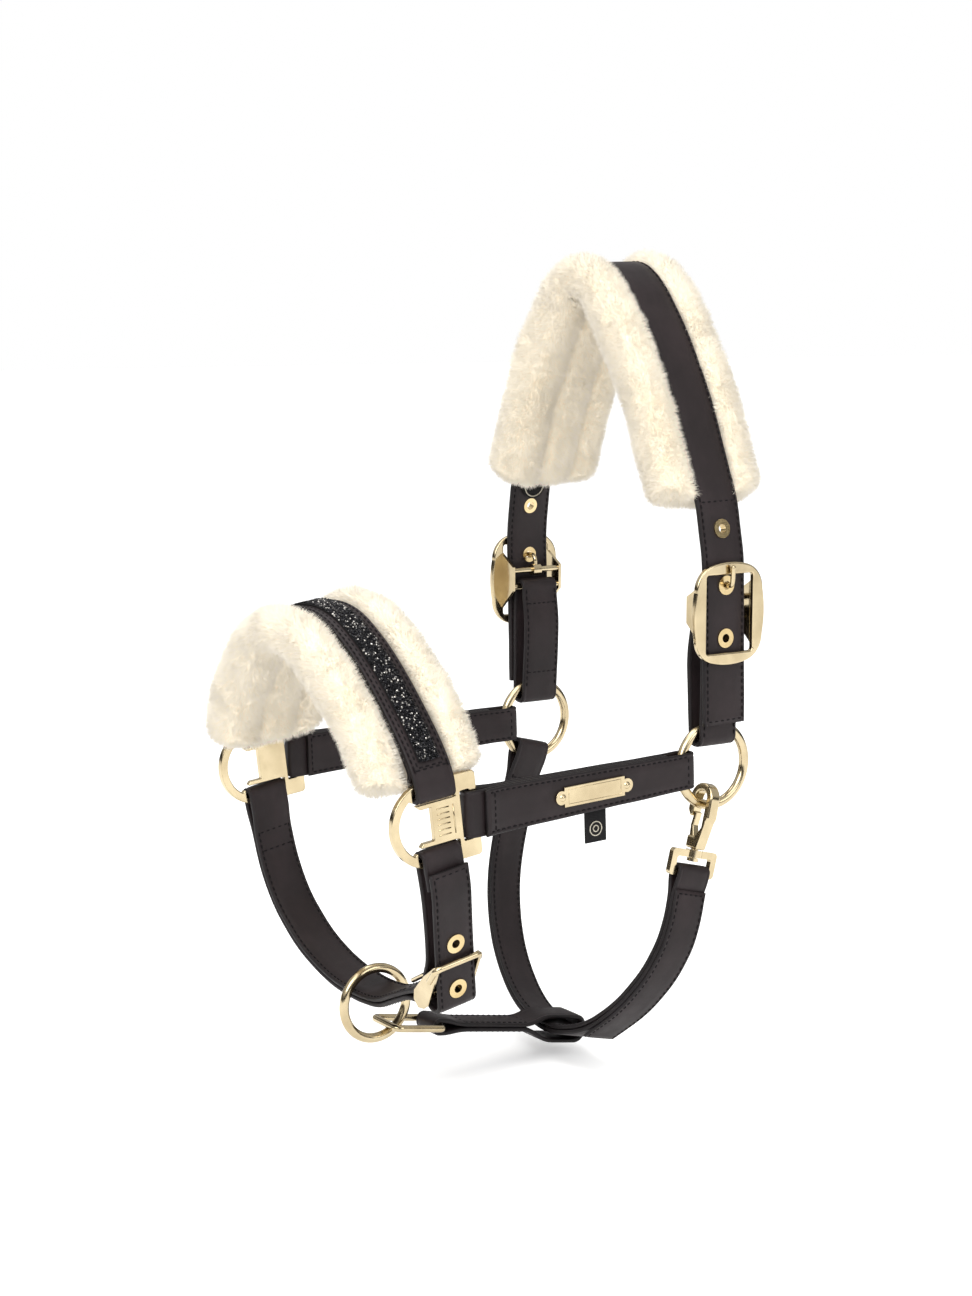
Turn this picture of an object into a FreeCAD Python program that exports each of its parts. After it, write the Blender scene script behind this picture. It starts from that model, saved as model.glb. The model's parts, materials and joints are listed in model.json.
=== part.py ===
"""Leather headcollar: straps, fur pads, cast plates, buckles, rings and a snap hook.

Frame: +Z up, the nose points to -Y, the horse's left (near) side is +X.
The origin is the poll seat: the middle of the underside of the crown pad.
"""
import FreeCAD, Part
import math
import os

V = FreeCAD.Vector
X_AXIS = V(1, 0, 0)
NEAR = 1
FAR = -1

# ---- driving dimensions, mm ----
LEATHER = 2.4           # one layer of strap leather
LAYER_GAP = 0.2         # between the two layers of a doubled strap
SIDE_Y = 3.5            # fore-aft place of buckles and cheek rings
CHEEK_X = 76.5          # half the width between the cheek rings
CROWN_WIDTH = 25.0
CROWN_LEATHER = 3.0
CROWN_LEAN = 1.25       # degrees, the crown's top leans forward
CROWN_PAD_WIDTH = 60.0
PAD_THICK = 16.0
BACKING_THICK = 2.2

RING_Z = -224.3         # middle of the cheek rings
RING_MID_R = 20.0
RING_WIRE_R = 2.4
CHIN_RING_MID_R = 17.7

PLATE_X = 83.0          # half the width between the nose plates
PLATE_Y = -162.0
PLATE_Z = -240.0
PLATE_THICK = 3.2
PLATE_PITCH = 7.0       # degrees, the rear of the plate is higher

NOSE_WIDTH = 21.0
NOSE_PAD_WIDTH = 62.0
CRYSTAL_WIDTH = 11.0
SIDE_WIDTH_PLATE = 22.0
SIDE_WIDTH_RING = 18.0
CHEEK_WIDTH = 22.0
CHIN_WIDTH = 21.0
CHIN_LEAN = 11.0        # degrees, the chin straps run rearward on the way down
THROAT_WIDTH = 19.6
THROAT_LEAN = 14.0      # degrees, the throat strap runs forward on the way down
JAW_WIDTH = 18.0

BUCKLE_WIDTH = 43.0
BUCKLE_HEIGHT = 50.0
BUCKLE_THICK = 3.0
WINDOW_WIDTH = 28.5
WINDOW_HEIGHT = 38.0
BAR_R = 1.5
TONGUE_Z = -142.5       # tongue bar of the crown buckles
STRAP_BAR_DROP = 8.8    # the strap bar lies this far under the tongue bar
FACE_OUT = 9.1          # back of the buckle's face outside the bars

EYELET_R = 4.7
EYELET_HOLE_R = 2.1
EYELET_BARREL_R = 2.8


def direction(degrees, forward):
    """Unit vector pointing down, leaning forward (-Y) or rearward (+Y)."""
    lean = math.radians(degrees)
    side = -1 if forward else 1
    return V(0, side * math.sin(lean), -math.cos(lean))


class Sheet:
    """A plane with an origin and two unit axes, in which a strap's route is drawn."""

    def __init__(self, origin, s_axis, t_axis):
        self.origin = origin
        self.s_axis = s_axis
        self.t_axis = t_axis
        self.normal = s_axis.cross(t_axis)

    def at(self, s, t, w=0.0):
        return self.origin + self.s_axis * s + self.t_axis * t + self.normal * w


def unit(a, b):
    length = math.hypot(b[0] - a[0], b[1] - a[1])
    return (b[0] - a[0]) / length, (b[1] - a[1]) / length, length


def corners(route, radii, closed):
    """Tangent points, centre and turn of each rounded corner of a flat route."""
    found = []
    count = len(route)
    for i in range(count):
        if not closed and i in (0, count - 1):
            continue
        before, here, after = route[i - 1], route[i], route[(i + 1) % count]
        ax, ay, run_in = unit(before, here)
        bx, by, run_out = unit(here, after)
        turn = math.atan2(ax * by - ay * bx, ax * bx + ay * by)
        half_tan = math.tan(abs(turn) / 2)
        radius = radii.get(i, 0.45 * min(run_in, run_out) / half_tan)
        reach = radius * half_tan
        side = 1 if turn > 0 else -1
        start = (here[0] - ax * reach, here[1] - ay * reach)
        end = (here[0] + bx * reach, here[1] + by * reach)
        centre = (start[0] - ay * side * radius, start[1] + ax * side * radius)
        middle = math.atan2(here[1] - centre[1], here[0] - centre[0])
        found.append((start, end, centre, radius, side, middle))
    return found


def offset_point(point, along, distance):
    return point[0] - along[1] * distance, point[1] + along[0] * distance


def side_edges(sheet, route, radii, closed, distance, w):
    """Edges of one side of a strap's edge-on outline, at a distance left of its route."""
    pieces = []
    for start, end, centre, radius, side, middle in corners(route, radii, closed):
        size = radius - side * distance
        swing = [math.atan2(p[1] - centre[1], p[0] - centre[0]) for p in (start, end)]
        spots = [(centre[0] + size * math.cos(a), centre[1] + size * math.sin(a))
                 for a in (swing[0], middle, swing[1])]
        pieces.append(spots)
    if not closed:
        first = unit(route[0], route[1])
        last = unit(route[-2], route[-1])
        pieces.insert(0, [offset_point(route[0], first, distance)])
        pieces.append([offset_point(route[-1], last, distance)])
    edges = []
    count = len(pieces)
    for i, spots in enumerate(pieces):
        if len(spots) == 3:
            edges.append(Part.Arc(*[sheet.at(s, t, w) for s, t in spots]).toShape())
        if i < count - 1 or closed:
            a = sheet.at(*spots[-1], w)
            b = sheet.at(*pieces[(i + 1) % count][0], w)
            if a.distanceToPoint(b) > 1e-5:
                edges.append(Part.makeLine(a, b))
    return edges


def strap(sheet, route, thick, width, radii=None, closed=False, shift=0.0):
    """A flat strap along a route, width across the sheet; shift moves it left, parallel to the route."""
    radii = radii or {}
    base = -width / 2
    left = side_edges(sheet, route, radii, closed, shift + thick / 2, base)
    right = side_edges(sheet, route, radii, closed, shift - thick / 2, base)
    across = sheet.normal * width
    if closed:
        blocks = [Part.Face(Part.Wire(Part.__sortEdges__(side))).extrude(across) for side in (left, right)]
        blocks.sort(key=lambda block: block.Volume)
        return blocks[1].cut(blocks[0]).Solids[0]
    ends = []
    for k, v in ((0, 0), (-1, 1)):
        ends.append(Part.makeLine(left[k].Vertexes[v].Point, right[k].Vertexes[v].Point))
    wire = Part.Wire(Part.__sortEdges__(left + right + ends))
    return Part.Face(wire).extrude(across)


def rod(points, radius, bends):
    """A round rod along straight runs joined by bends."""
    edges = []
    here = points[0]
    for i in range(1, len(points) - 1):
        a = (points[i] - points[i - 1]).normalize()
        b = (points[i + 1] - points[i]).normalize()
        turn = a.getAngle(b)
        reach = bends[i - 1] * math.tan(turn / 2)
        start = points[i] - a * reach
        end = points[i] + b * reach
        inward = (b - a).normalize()
        sag = bends[i - 1] * (1 / math.cos(turn / 2) - 1)
        edges.append(Part.makeLine(here, start))
        edges.append(Part.Arc(start, points[i] + inward * sag, end).toShape())
        here = end
    edges.append(Part.makeLine(here, points[-1]))
    first = (points[1] - points[0]).normalize()
    ring = Part.Wire(Part.makeCircle(radius, points[0], first))
    return Part.Wire(edges).makePipeShell([ring], True, True)


def plate_face(sheet, outline, w):
    """A flat face from (s, t) points; a point with a third value ends an arc through its middle."""
    edges = []
    for a, b in zip(outline, outline[1:] + outline[:1]):
        start, end = sheet.at(a[0], a[1], w), sheet.at(b[0], b[1], w)
        if len(b) > 2:
            edges.append(Part.Arc(start, sheet.at(b[2], b[3], w), end).toShape())
        else:
            edges.append(Part.makeLine(start, end))
    return Part.Face(Part.Wire(edges))


def slab(sheet, outline, low, high):
    return plate_face(sheet, outline, low).extrude(sheet.normal * (high - low))


def softened(shape, radius):
    """The shape with all its edges rounded, as on a polished casting."""
    return shape.makeFillet(radius, shape.Edges)


def rounded(s0, s1, t0, t1, r):
    """Outline of a rectangle with round corners, for slab()."""
    c = r * (1 - math.sqrt(0.5))
    return [
        (s0 + r, t0, s0 + c, t0 + c), (s1 - r, t0), (s1, t0 + r, s1 - c, t0 + c), (s1, t1 - r),
        (s1 - r, t1, s1 - c, t1 - c), (s0 + r, t1), (s0, t1 - r, s0 + c, t1 - c), (s0, t0 + r),
    ]


def offset_route(route, distance):
    """The same route moved sideways; its end points move square to their runs."""
    moved = []
    for i, here in enumerate(route):
        before = unit(route[max(i - 1, 0)], route[max(i, 1)])
        after = unit(route[min(i, len(route) - 2)], route[min(i + 1, len(route) - 1)])
        nx, ny = -(before[1] + after[1]), before[0] + after[0]
        scale = distance * 2 / (nx * nx + ny * ny)
        moved.append((here[0] + nx * scale, here[1] + ny * scale))
    return moved


def doubled(sheet, middle, first_fold, last_fold, width, thick=LEATHER):
    """A strap of two layers along a middle route, open at each end as a fold round a bar.

    Each fold is four points round its bar; the layers meet where the middle route begins and ends.
    """
    half = (thick + LAYER_GAP) / 2
    there = offset_route(middle, half)
    back = offset_route(middle, -half)[::-1]
    loop = first_fold + there + last_fold + back
    second = len(first_fold) + len(there)
    radii = {i: thick / 2 + 0.9 for i in (1, 2, second + 1, second + 2)}
    for i, corner in enumerate(corners(middle, {}, False), start=1):
        radius, side = corner[3], corner[4]
        radii[len(first_fold) + i] = radius - side * half
        radii[len(loop) - 1 - i] = radius - side * -half
    return strap(sheet, loop, thick, width, radii, closed=True)


def mirrored(shape):
    return shape.mirror(V(0, 0, 0), X_AXIS)


def both_sides(name, shape):
    """The same piece on the near side and, mirrored, on the far side."""
    return {"near_" + name: shape, "far_" + name: mirrored(shape)}


# ---- sheets: the planes that the straps run in ----
POLL = V(0, 0, 0)
RING = V(CHEEK_X, SIDE_Y, RING_Z)
TONGUE_BAR = V(CHEEK_X, SIDE_Y, TONGUE_Z)
PITCH = math.radians(PLATE_PITCH)
PLATE = Sheet(V(PLATE_X, PLATE_Y, PLATE_Z), V(0, math.cos(PITCH), math.sin(PITCH)),
              V(0, -math.sin(PITCH), math.cos(PITCH)))
LEAN = math.radians(CROWN_LEAN)
CROWN = Sheet(POLL, X_AXIS, V(0, -math.sin(LEAN), math.cos(LEAN)))
NOSE = Sheet(V(0, PLATE_Y, PLATE_Z) + PLATE.s_axis * 1.9, X_AXIS, PLATE.t_axis)
BUCKLE = Sheet(TONGUE_BAR, X_AXIS, V(0, 0, 1))
CHEEK = BUCKLE
CHIN_TOP = V(0, PLATE_Y, PLATE_Z) + PLATE.s_axis * 1.9 + PLATE.t_axis * -9.9
CHIN = Sheet(CHIN_TOP, X_AXIS, direction(CHIN_LEAN, False))
THROAT = Sheet(V(0, SIDE_Y, RING_Z), X_AXIS, direction(THROAT_LEAN, True))
SIDE_START = PLATE.at(17.9, 8.0)
SIDE_RUN = V(0, RING.y - SIDE_START.y, RING.z - SIDE_START.z)
SIDE = Sheet(V(0, SIDE_START.y, SIDE_START.z), V(SIDE_RUN).normalize(), X_AXIS)
SIDE_LENGTH = SIDE_RUN.Length


# ---- crown ----
CROWN_HALF = [
    (83.6, -203), (83.6, -122), (78.6, -94), (71.2, -77), (58.4, -44.5), (39.8, -13), (22, 9.3), (8, 18.6),
]
CROWN_RADII = {1: 79.0, 14: 79.0}


def there_and_back(half):
    """A route symmetric about the middle plane, from its near half."""
    return half + [(-s, t) for s, t in reversed(half)]


def crown_eyelet_places():
    """Middle and outward direction of the near side's crown eyelets."""
    upper, lower = CROWN_HALF[2], CROWN_HALF[1]
    along = (CROWN.at(*upper) - CROWN.at(*lower)).normalize()
    on_slope = CROWN.at((upper[0] + lower[0]) / 2, (upper[1] + lower[1]) / 2)
    places = [(on_slope, CROWN.normal.cross(along) * -1)]
    for height in (TONGUE_Z + 7.6, TONGUE_Z - 18.2):
        places.append((V(83.6, SIDE_Y, height), X_AXIS))
    return places


def eyelet(place, outward, thick):
    """A brass eyelet: a wide outer flange, a barrel and a thin inner flange."""
    inside = place - outward * (thick / 2)
    outside = place + outward * (thick / 2)
    barrel = Part.makeCylinder(EYELET_BARREL_R - 0.05, thick, inside, outward)
    outer = Part.makeCylinder(EYELET_R, 0.6, outside, outward)
    inner = Part.makeCylinder(EYELET_R - 0.6, 0.3, inside - outward * 0.3, outward)
    hole = Part.makeCylinder(EYELET_HOLE_R, thick + 4, inside - outward * 2, outward)
    return barrel.fuse([outer, inner]).cut(hole).removeSplitter()


def punched(shape, places):
    holes = []
    for place, outward in places:
        holes.append(Part.makeCylinder(EYELET_BARREL_R, 12, place - outward * 6, outward))
    return shape.cut(holes)


def crown_nodes():
    near = crown_eyelet_places()
    far = [(V(-p.x, p.y, p.z), V(-n.x, n.y, n.z)) for p, n in near]
    eyelets = Part.makeCompound([eyelet(p, n, CROWN_LEATHER) for p, n in near])
    strap_body = strap(CROWN, there_and_back(CROWN_HALF), CROWN_LEATHER, CROWN_WIDTH, CROWN_RADII)
    backing_route = there_and_back([(75.1, -86)] + CROWN_HALF[3:])
    pad_route = there_and_back(CROWN_HALF[2:])
    backing_in = CROWN_LEATHER / 2 + 0.1 + BACKING_THICK / 2
    pad_in = CROWN_LEATHER / 2 + BACKING_THICK + 0.7 + PAD_THICK / 2
    label_at = CROWN.at(-76.4, -97.2)
    nodes = {
        "crown_strap": punched(strap_body, near + far),
        "crown_backing": strap(CROWN, backing_route, BACKING_THICK, CROWN_WIDTH, shift=backing_in),
        "crown_fur_pad": strap(CROWN, pad_route, PAD_THICK, CROWN_PAD_WIDTH, shift=pad_in),
        "crown_label": Part.makeCylinder(7.0, 0.8, label_at, V(0.98, 0, -0.19)),
    }
    nodes.update(both_sides("crown_eyelets", eyelets))
    return nodes


# ---- crown buckles, each one casting with a tongue bar and a strap bar ----
def buckle_frame():
    middle = -5.85
    face = Sheet(BUCKLE.origin, V(0, 1, 0), V(0, 0, 1))
    w, h = BUCKLE_WIDTH / 2, BUCKLE_HEIGHT / 2
    window_w, window_h = WINDOW_WIDTH / 2, WINDOW_HEIGHT / 2
    outline = [(s, middle + t, mid_s, middle + mid_t) for s, t, mid_s, mid_t in (
        (w - 1.1, 11, w, 0), (10, h - 1.2, w - 4.4, h - 5.2),
        (-10, h - 1.2, 0, h), (1.1 - w, 11, 4.4 - w, h - 5.2),
        (1.1 - w, -11, -w, 0), (-10, 1.2 - h, 4.4 - w, 5.2 - h),
        (10, 1.2 - h, 0, -h), (w - 1.1, -11, w - 4.4, 5.2 - h),
    )]
    outer = slab(face, outline, FACE_OUT, FACE_OUT + BUCKLE_THICK)
    window = slab(face, rounded(-window_w, window_w, middle - window_h, middle + window_h, 1.5), 0, 20)
    gusset = [(FACE_OUT + 0.5, 9), (FACE_OUT + 0.5, -21), (-1.8, -STRAP_BAR_DROP - 2), (-1.8, 2)]
    pieces = [slab(BUCKLE, gusset, side - 0.8, side + 0.8) for side in (-window_w - 0.8, window_w + 0.8)]
    for drop in (0, STRAP_BAR_DROP):
        start = BUCKLE.at(0, -drop, window_w + 1)
        pieces.append(Part.makeCylinder(BAR_R, WINDOW_WIDTH + 2, start, V(0, 1, 0)))
    return softened(outer.cut(window), 0.8).fuse(pieces).removeSplitter()


def tongue(sheet, shank, bends):
    """A buckle tongue: a coil round its bar and a curved prong."""
    coil = Part.makeCylinder(3.0, 5, sheet.at(0, 0, 2.5), sheet.normal * -1)
    bore = Part.makeCylinder(BAR_R + 0.06, 7, sheet.at(0, 0, 3.5), sheet.normal * -1)
    prong = rod([sheet.at(s, t) for s, t in shank], 1.2, bends)
    tip = Part.makeSphere(1.2, sheet.at(*shank[-1]))
    return coil.fuse([prong, tip]).cut(bore).removeSplitter()


def buckle_nodes():
    frame = buckle_frame()
    prong = tongue(BUCKLE, [(0, 2.2), (0, 7.6), (13.4, 7.6), (14.1, 16.5)], [3.0, 2.6])
    nodes = both_sides("crown_buckle", frame)
    nodes.update(both_sides("crown_tongue", prong))
    return nodes


# ---- cheek straps and cheek rings ----
CHEEK_ROUTE = [
    (4.0, -5.8), (4.0, -70.9), (-4.1, -70.9), (-5.4, -50), (-6.6, -28), (-4.0, -12), (-4.0, -5.8),
]


def cheek_nodes():
    radii = {0: 3.6, 1: 3.6, 2: 3.2, 6: 3.2}
    body = strap(CHEEK, CHEEK_ROUTE, LEATHER, CHEEK_WIDTH, radii, closed=True)
    ring = Part.makeTorus(RING_MID_R, RING_WIRE_R, RING, X_AXIS)
    nodes = both_sides("cheek_strap", body)
    nodes.update(both_sides("cheek_ring", ring))
    return nodes


# ---- nose plates ----
def nose_plate():
    """A flat casting: a D opening in front, a middle block and three slots for the straps."""
    half = PLATE_THICK / 2
    outline = [
        (-2, -12, -22, 8), (22.5, -12), (24.5, -10, 23.9, -11.4),
        (24.5, 26), (22.5, 28, 23.9, 27.4), (-2, 28),
    ]
    d_opening = [
        (0, 0.2), (0, 15.8), (-6, 15.8), (-11, 20.9), (-11, -4.9, -17.8, 8), (-6, 0.2),
    ]
    body = slab(PLATE, outline, -half, half)
    holes = [slab(PLATE, d_opening, -5, 5)]
    for s0, s1, t0, t1 in ((-9.3, 13.1, 18.0, 23.8), (-9.3, 13.1, -7.8, -2.0), (15.5, 20.3, -3.6, 19.6)):
        holes.append(slab(PLATE, rounded(s0, s1, t0, t1, 0.8), -5, 5))
    return softened(body.cut(holes), 0.5)


# ---- noseband ----
NOSE_HALF = [(83, 33), (78, 41), (69, 53), (54.5, 69.5), (37.5, 84.5), (22, 93.5), (7.5, 97.2)]
NOSE_FOLD = [(86.3, 27.5), (86.3, 21.6), (79.7, 21.6), (79.7, 27.5)]


def nose_nodes():
    """The noseband, its fur pad and the crystal band, all parallel to one route."""
    half = LEATHER + LAYER_GAP / 2
    far_fold = [(-s, t) for s, t in reversed(NOSE_FOLD)]
    pad_route = there_and_back([(81, 24), (77.8, 39)] + NOSE_HALF[2:])
    pad = strap(NOSE, pad_route, PAD_THICK, NOSE_PAD_WIDTH, shift=half + 0.5 + PAD_THICK / 2)
    band = strap(NOSE, there_and_back(NOSE_HALF[1:]), 1.0, CRYSTAL_WIDTH, shift=-half - 0.7)
    return {
        "noseband_strap": doubled(NOSE, there_and_back(NOSE_HALF), NOSE_FOLD, far_fold, NOSE_WIDTH),
        "nose_fur_pad": pad,
        "crystal_band": band,
    }


# ---- side straps ----
def tapered(shape):
    """Trim a side strap from its width at the plate to its width at the ring."""
    wide, narrow = SIDE_WIDTH_PLATE / 2, SIDE_WIDTH_RING / 2
    face = Sheet(SIDE.origin, SIDE.s_axis, SIDE.normal)
    outline = [(-10, -wide), (10, -wide), (SIDE_LENGTH - 25, -narrow), (SIDE_LENGTH + 10, -narrow),
               (SIDE_LENGTH + 10, narrow), (SIDE_LENGTH - 25, narrow), (10, wide), (-10, wide)]
    return shape.common(slab(face, outline, -120, 120))


def side_nodes():
    toe = (PLATE_X - CHEEK_X) / SIDE_LENGTH
    tail = SIDE_LENGTH - 30
    half = (LEATHER + LAYER_GAP) / 2
    tail_mid = PLATE_X - toe * tail
    core = [(0, PLATE_X + 3.3), (9, PLATE_X + 3.3), (15, PLATE_X - toe * 15 + half), (tail, tail_mid + half),
            (tail, tail_mid - half), (15, PLATE_X - toe * 15 - half), (9, PLATE_X - 3.3), (0, PLATE_X - 3.3)]
    core_radii = {0: 2.1, 7: 2.1, 3: 1.295, 4: 1.295}
    fold = SIDE_LENGTH - 14.1
    sleeve = [
        (8, PLATE_X + 5.9), (18, PLATE_X + 3.9 - toe * 18), (tail + 2, tail_mid + 3.7), (fold, CHEEK_X + 3.7),
        (fold, CHEEK_X - 3.7), (tail + 7, CHEEK_X - 3.7), (tail + 1, tail_mid - 3.8),
        (18, PLATE_X - 3.9 - toe * 18), (8, PLATE_X - 5.9),
    ]
    sleeve_radii = {3: 2.8, 4: 2.8}
    core_body = strap(SIDE, core, LEATHER, SIDE_WIDTH_PLATE, core_radii, closed=True)
    sleeve_body = strap(SIDE, sleeve, 1.8, SIDE_WIDTH_PLATE, sleeve_radii)
    nodes = both_sides("side_strap", tapered(core_body))
    nodes.update(both_sides("side_sleeve", tapered(sleeve_body)))
    nodes.update(nameplate_nodes(toe))
    return nodes


def nameplate_nodes(toe):
    """The blank nameplate with its two rivets and the woven tag under the near side sleeve."""
    along = (SIDE.s_axis - X_AXIS * toe).normalize()
    outward = SIDE.normal.cross(along) * -1
    outward = outward if outward.x > 0 else outward * -1
    middle = SIDE.at(71, PLATE_X + 3.8 - toe * 71 + 1.05)
    face = Sheet(middle, along, outward.cross(along))
    step, half_long, half_tall = 5.0, 23.0, 4.8
    outline = [
        (-half_long + step, -half_tall), (half_long - step, -half_tall), (half_long - step, -3),
        (half_long - step, 3, half_long, 0), (half_long - step, half_tall), (-half_long + step, half_tall),
        (-half_long + step, 3), (-half_long + step, -3, -half_long, 0),
    ]
    low, high = (0, 1.2) if face.normal.x > 0 else (-1.2, 0)
    plate = softened(slab(face, outline, low, high), 0.25)
    rivets = []
    for s in (-half_long + step - 1.2, half_long - step + 1.2):
        foot = face.at(s, 0) + outward * 1.2
        dome = Part.makeSphere(2.0, foot - outward * 0.9)
        rivets.append(dome.common(Part.makeCylinder(2.0, 2, foot, outward)))
    tag_face = Sheet(SIDE.at(75, PLATE_X - toe * 75), SIDE.s_axis, SIDE.normal)
    tag = slab(tag_face, [(-6, 10.5), (6, 10.5), (6, 26), (-6, 26)], -0.5, 0.5)
    return {"nameplate": plate, "nameplate_rivets": Part.makeCompound(rivets), "woven_tag": tag}


# ---- chin ----
RING_S = -5.0
CHIN_RING_T = 93.8
CHIN_STRAP_MID = [
    (-83, 15), (-83, 32), (-76.5, 54), (-58, 73), (-33, 84), (-5, 87), (16, 85), (32, 78), (47.5, 71.6),
]
STRAP_BAR = (61.2, 69.2)
TONGUE_BAR_CHIN = (71.6, 65.6)
CROSS_BAR = (84.2, 49.3)
CROSS_BAR_R = 1.5
BILLET = [
    (86.3, 11), (86.3, -4.35), (79.7, -4.35), (79.7, 12), (76.5, 34), (72.5, 50), (67, 57.5), (66.9, 73),
    (75.6, 74), (80, 53), (85.8, 27), (89.2, 14), (89.6, 3),
]
BILLET_RADII = {1: 2.1, 2: 2.1, 7: 4.2, 8: 4.2}
TONGUE_HOLE_R = 2.4
TONGUE_HOLE_T = 62.3    # where the tongue goes through the billet's inner run


def chin_strap():
    bar_s, bar_t = STRAP_BAR
    plate_fold = [(-79.7, 6), (-79.7, -4.35), (-86.3, -4.35), (-86.3, 6)]
    reach = BAR_R + 0.25 + LEATHER / 2
    bar_fold = [(bar_s + s * reach, bar_t + t * reach) for s, t in ((-0.6, 1), (1, 1), (1, -1), (-0.6, -1))]
    return doubled(CHIN, CHIN_STRAP_MID, plate_fold, bar_fold, CHIN_WIDTH)


def chin_eyelet_places():
    places = []
    for a, b in ((8, 9), (9, 10)):
        lower, upper = CHIN.at(*BILLET[a]), CHIN.at(*BILLET[b])
        along = (upper - lower).normalize()
        outward = CHIN.normal.cross(along)
        places.append(((lower + upper) * 0.5, outward if outward.x > 0 else outward * -1))
    return places


def chin_billet():
    body = strap(CHIN, BILLET, LEATHER, CHIN_WIDTH, BILLET_RADII)
    body = punched(body, chin_eyelet_places())
    return body.cut(Part.makeCylinder(TONGUE_HOLE_R, 8, CHIN.at(71, TONGUE_HOLE_T), CHIN.s_axis * -1))


def chin_buckle():
    """A cross bar in front of the billet, two flat cheeks and two bars between them."""
    inner, outer = CHIN_WIDTH / 2 + 0.4, CHIN_WIDTH / 2 + 2.0
    side = CHIN_WIDTH / 2 + 0.4 + CROSS_BAR_R
    cheek = [
        (82.6, 48.2), (84.8, 50.4), (70.5, 70.5), (66, 73.2), (61, 73.8), (58.2, 70), (60, 64.8), (71, 55.6),
    ]
    arm, bar_end = (76, 57), CROSS_BAR
    points = [CHIN.at(*arm, side), CHIN.at(*bar_end, side), CHIN.at(*bar_end, -side), CHIN.at(*arm, -side)]
    frame = rod(points, CROSS_BAR_R, [3.0, 3.0])
    cheeks = [softened(slab(CHIN, cheek, low, low + outer - inner), 0.4) for low in (inner, -outer)]
    bars = []
    for s, t in (STRAP_BAR, TONGUE_BAR_CHIN):
        bars.append(Part.makeCylinder(BAR_R, inner + outer, CHIN.at(s, t, -(inner + outer) / 2), CHIN.normal))
    return frame.fuse(cheeks + bars).removeSplitter()


def chin_nodes():
    bar = Sheet(CHIN.at(*TONGUE_BAR_CHIN), CHIN.s_axis, CHIN.t_axis)
    eyelets = [eyelet(place, outward, LEATHER) for place, outward in chin_eyelet_places()]
    shank = [(-1.5, -1.5), (-7.5, -4.2), (-22, -0.9), (-33.5, 4.8)]
    ring = Part.makeTorus(CHIN_RING_MID_R, RING_WIRE_R, CHIN.at(RING_S, CHIN_RING_T), X_AXIS)
    return {
        "chin_strap": chin_strap(),
        "chin_billet": chin_billet(),
        "chin_eyelets": Part.makeCompound(eyelets),
        "chin_buckle": chin_buckle(),
        "chin_tongue": tongue(bar, shank, [3.0, 12.0]),
        "chin_ring": ring,
    }


# ---- link and jaw strap ----
JAW_FALL = math.radians(10)
LINK_ANGLE = math.radians(45)
LINK_WIRE_R = 1.8
LINK_FRONT = -7.0
LINK_REAR = 21.0
RING_MIDDLE = CHIN.at(RING_S, CHIN_RING_T)
JAW = Sheet(RING_MIDDLE + V(0, math.cos(LINK_ANGLE), -math.sin(LINK_ANGLE)) * CHIN_RING_MID_R,
            V(0, math.cos(JAW_FALL), -math.sin(JAW_FALL)), V(0, math.sin(JAW_FALL), math.cos(JAW_FALL)))
THROAT_BOTTOM_T = 154.0


def jaw_nodes():
    side = JAW_WIDTH / 2 + 0.4 + LINK_WIRE_R
    middle = (LINK_FRONT + LINK_REAR) / 2
    halves = []
    for end in (LINK_FRONT, LINK_REAR):
        corners_st = ((middle, side), (end, side), (end, -side), (middle, -side))
        points = [JAW.at(s, 0, w) for s, w in corners_st]
        halves.append(rod(points, LINK_WIRE_R, [3.0, 3.0]))
    bottom = THROAT.at(0, THROAT_BOTTOM_T - 2) - JAW.origin
    s, t = bottom.dot(JAW.s_axis), bottom.dot(JAW.t_axis)
    route = [
        (LINK_REAR - 3.3, 3.3), (LINK_REAR + 3, 3.3), (LINK_REAR + 13, 1.2), (s - 21, 1.2), (s - 12, t + 6.4),
        (s + 13, t + 6.4), (s + 13, t - 6.2), (s - 11, t - 6.2), (s - 21, -1.2), (LINK_REAR + 13, -1.2),
        (LINK_REAR + 3, -3.3), (LINK_REAR - 3.3, -3.3),
    ]
    radii = {0: 2.6, 11: 2.6, 5: 5.0, 6: 5.0}
    return {
        "jaw_link": halves[0].fuse(halves[1]).removeSplitter(),
        "jaw_strap": strap(JAW, route, 2.2, JAW_WIDTH, radii, closed=True),
    }


# ---- throat strap and snap hook ----
THROAT_MID = [
    (-76.8, 30), (-78, 62), (-76, 84), (-69, 105), (-54, 127), (-31, 145.5), (0, THROAT_BOTTOM_T),
    (31, 145.5),
    (54, 127), (69, 107), (76, 90), (77.5, 76), (76.8, 65),
]
SNAP = Sheet(RING, X_AXIS, THROAT.t_axis)
EYE_BAR_T = 54.5


def throat_strap():
    ring_fold = [(-72.5, 21), (-72.5, 12.8), (-80.5, 12.8), (-80.5, 21)]
    t = EYE_BAR_T - 3.2
    eye_fold = [(CHEEK_X + 3.2, t + 6), (CHEEK_X + 3.2, t), (CHEEK_X - 3.2, t), (CHEEK_X - 3.2, t + 6)]
    return doubled(THROAT, THROAT_MID, ring_fold, eye_fold, THROAT_WIDTH)


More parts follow.
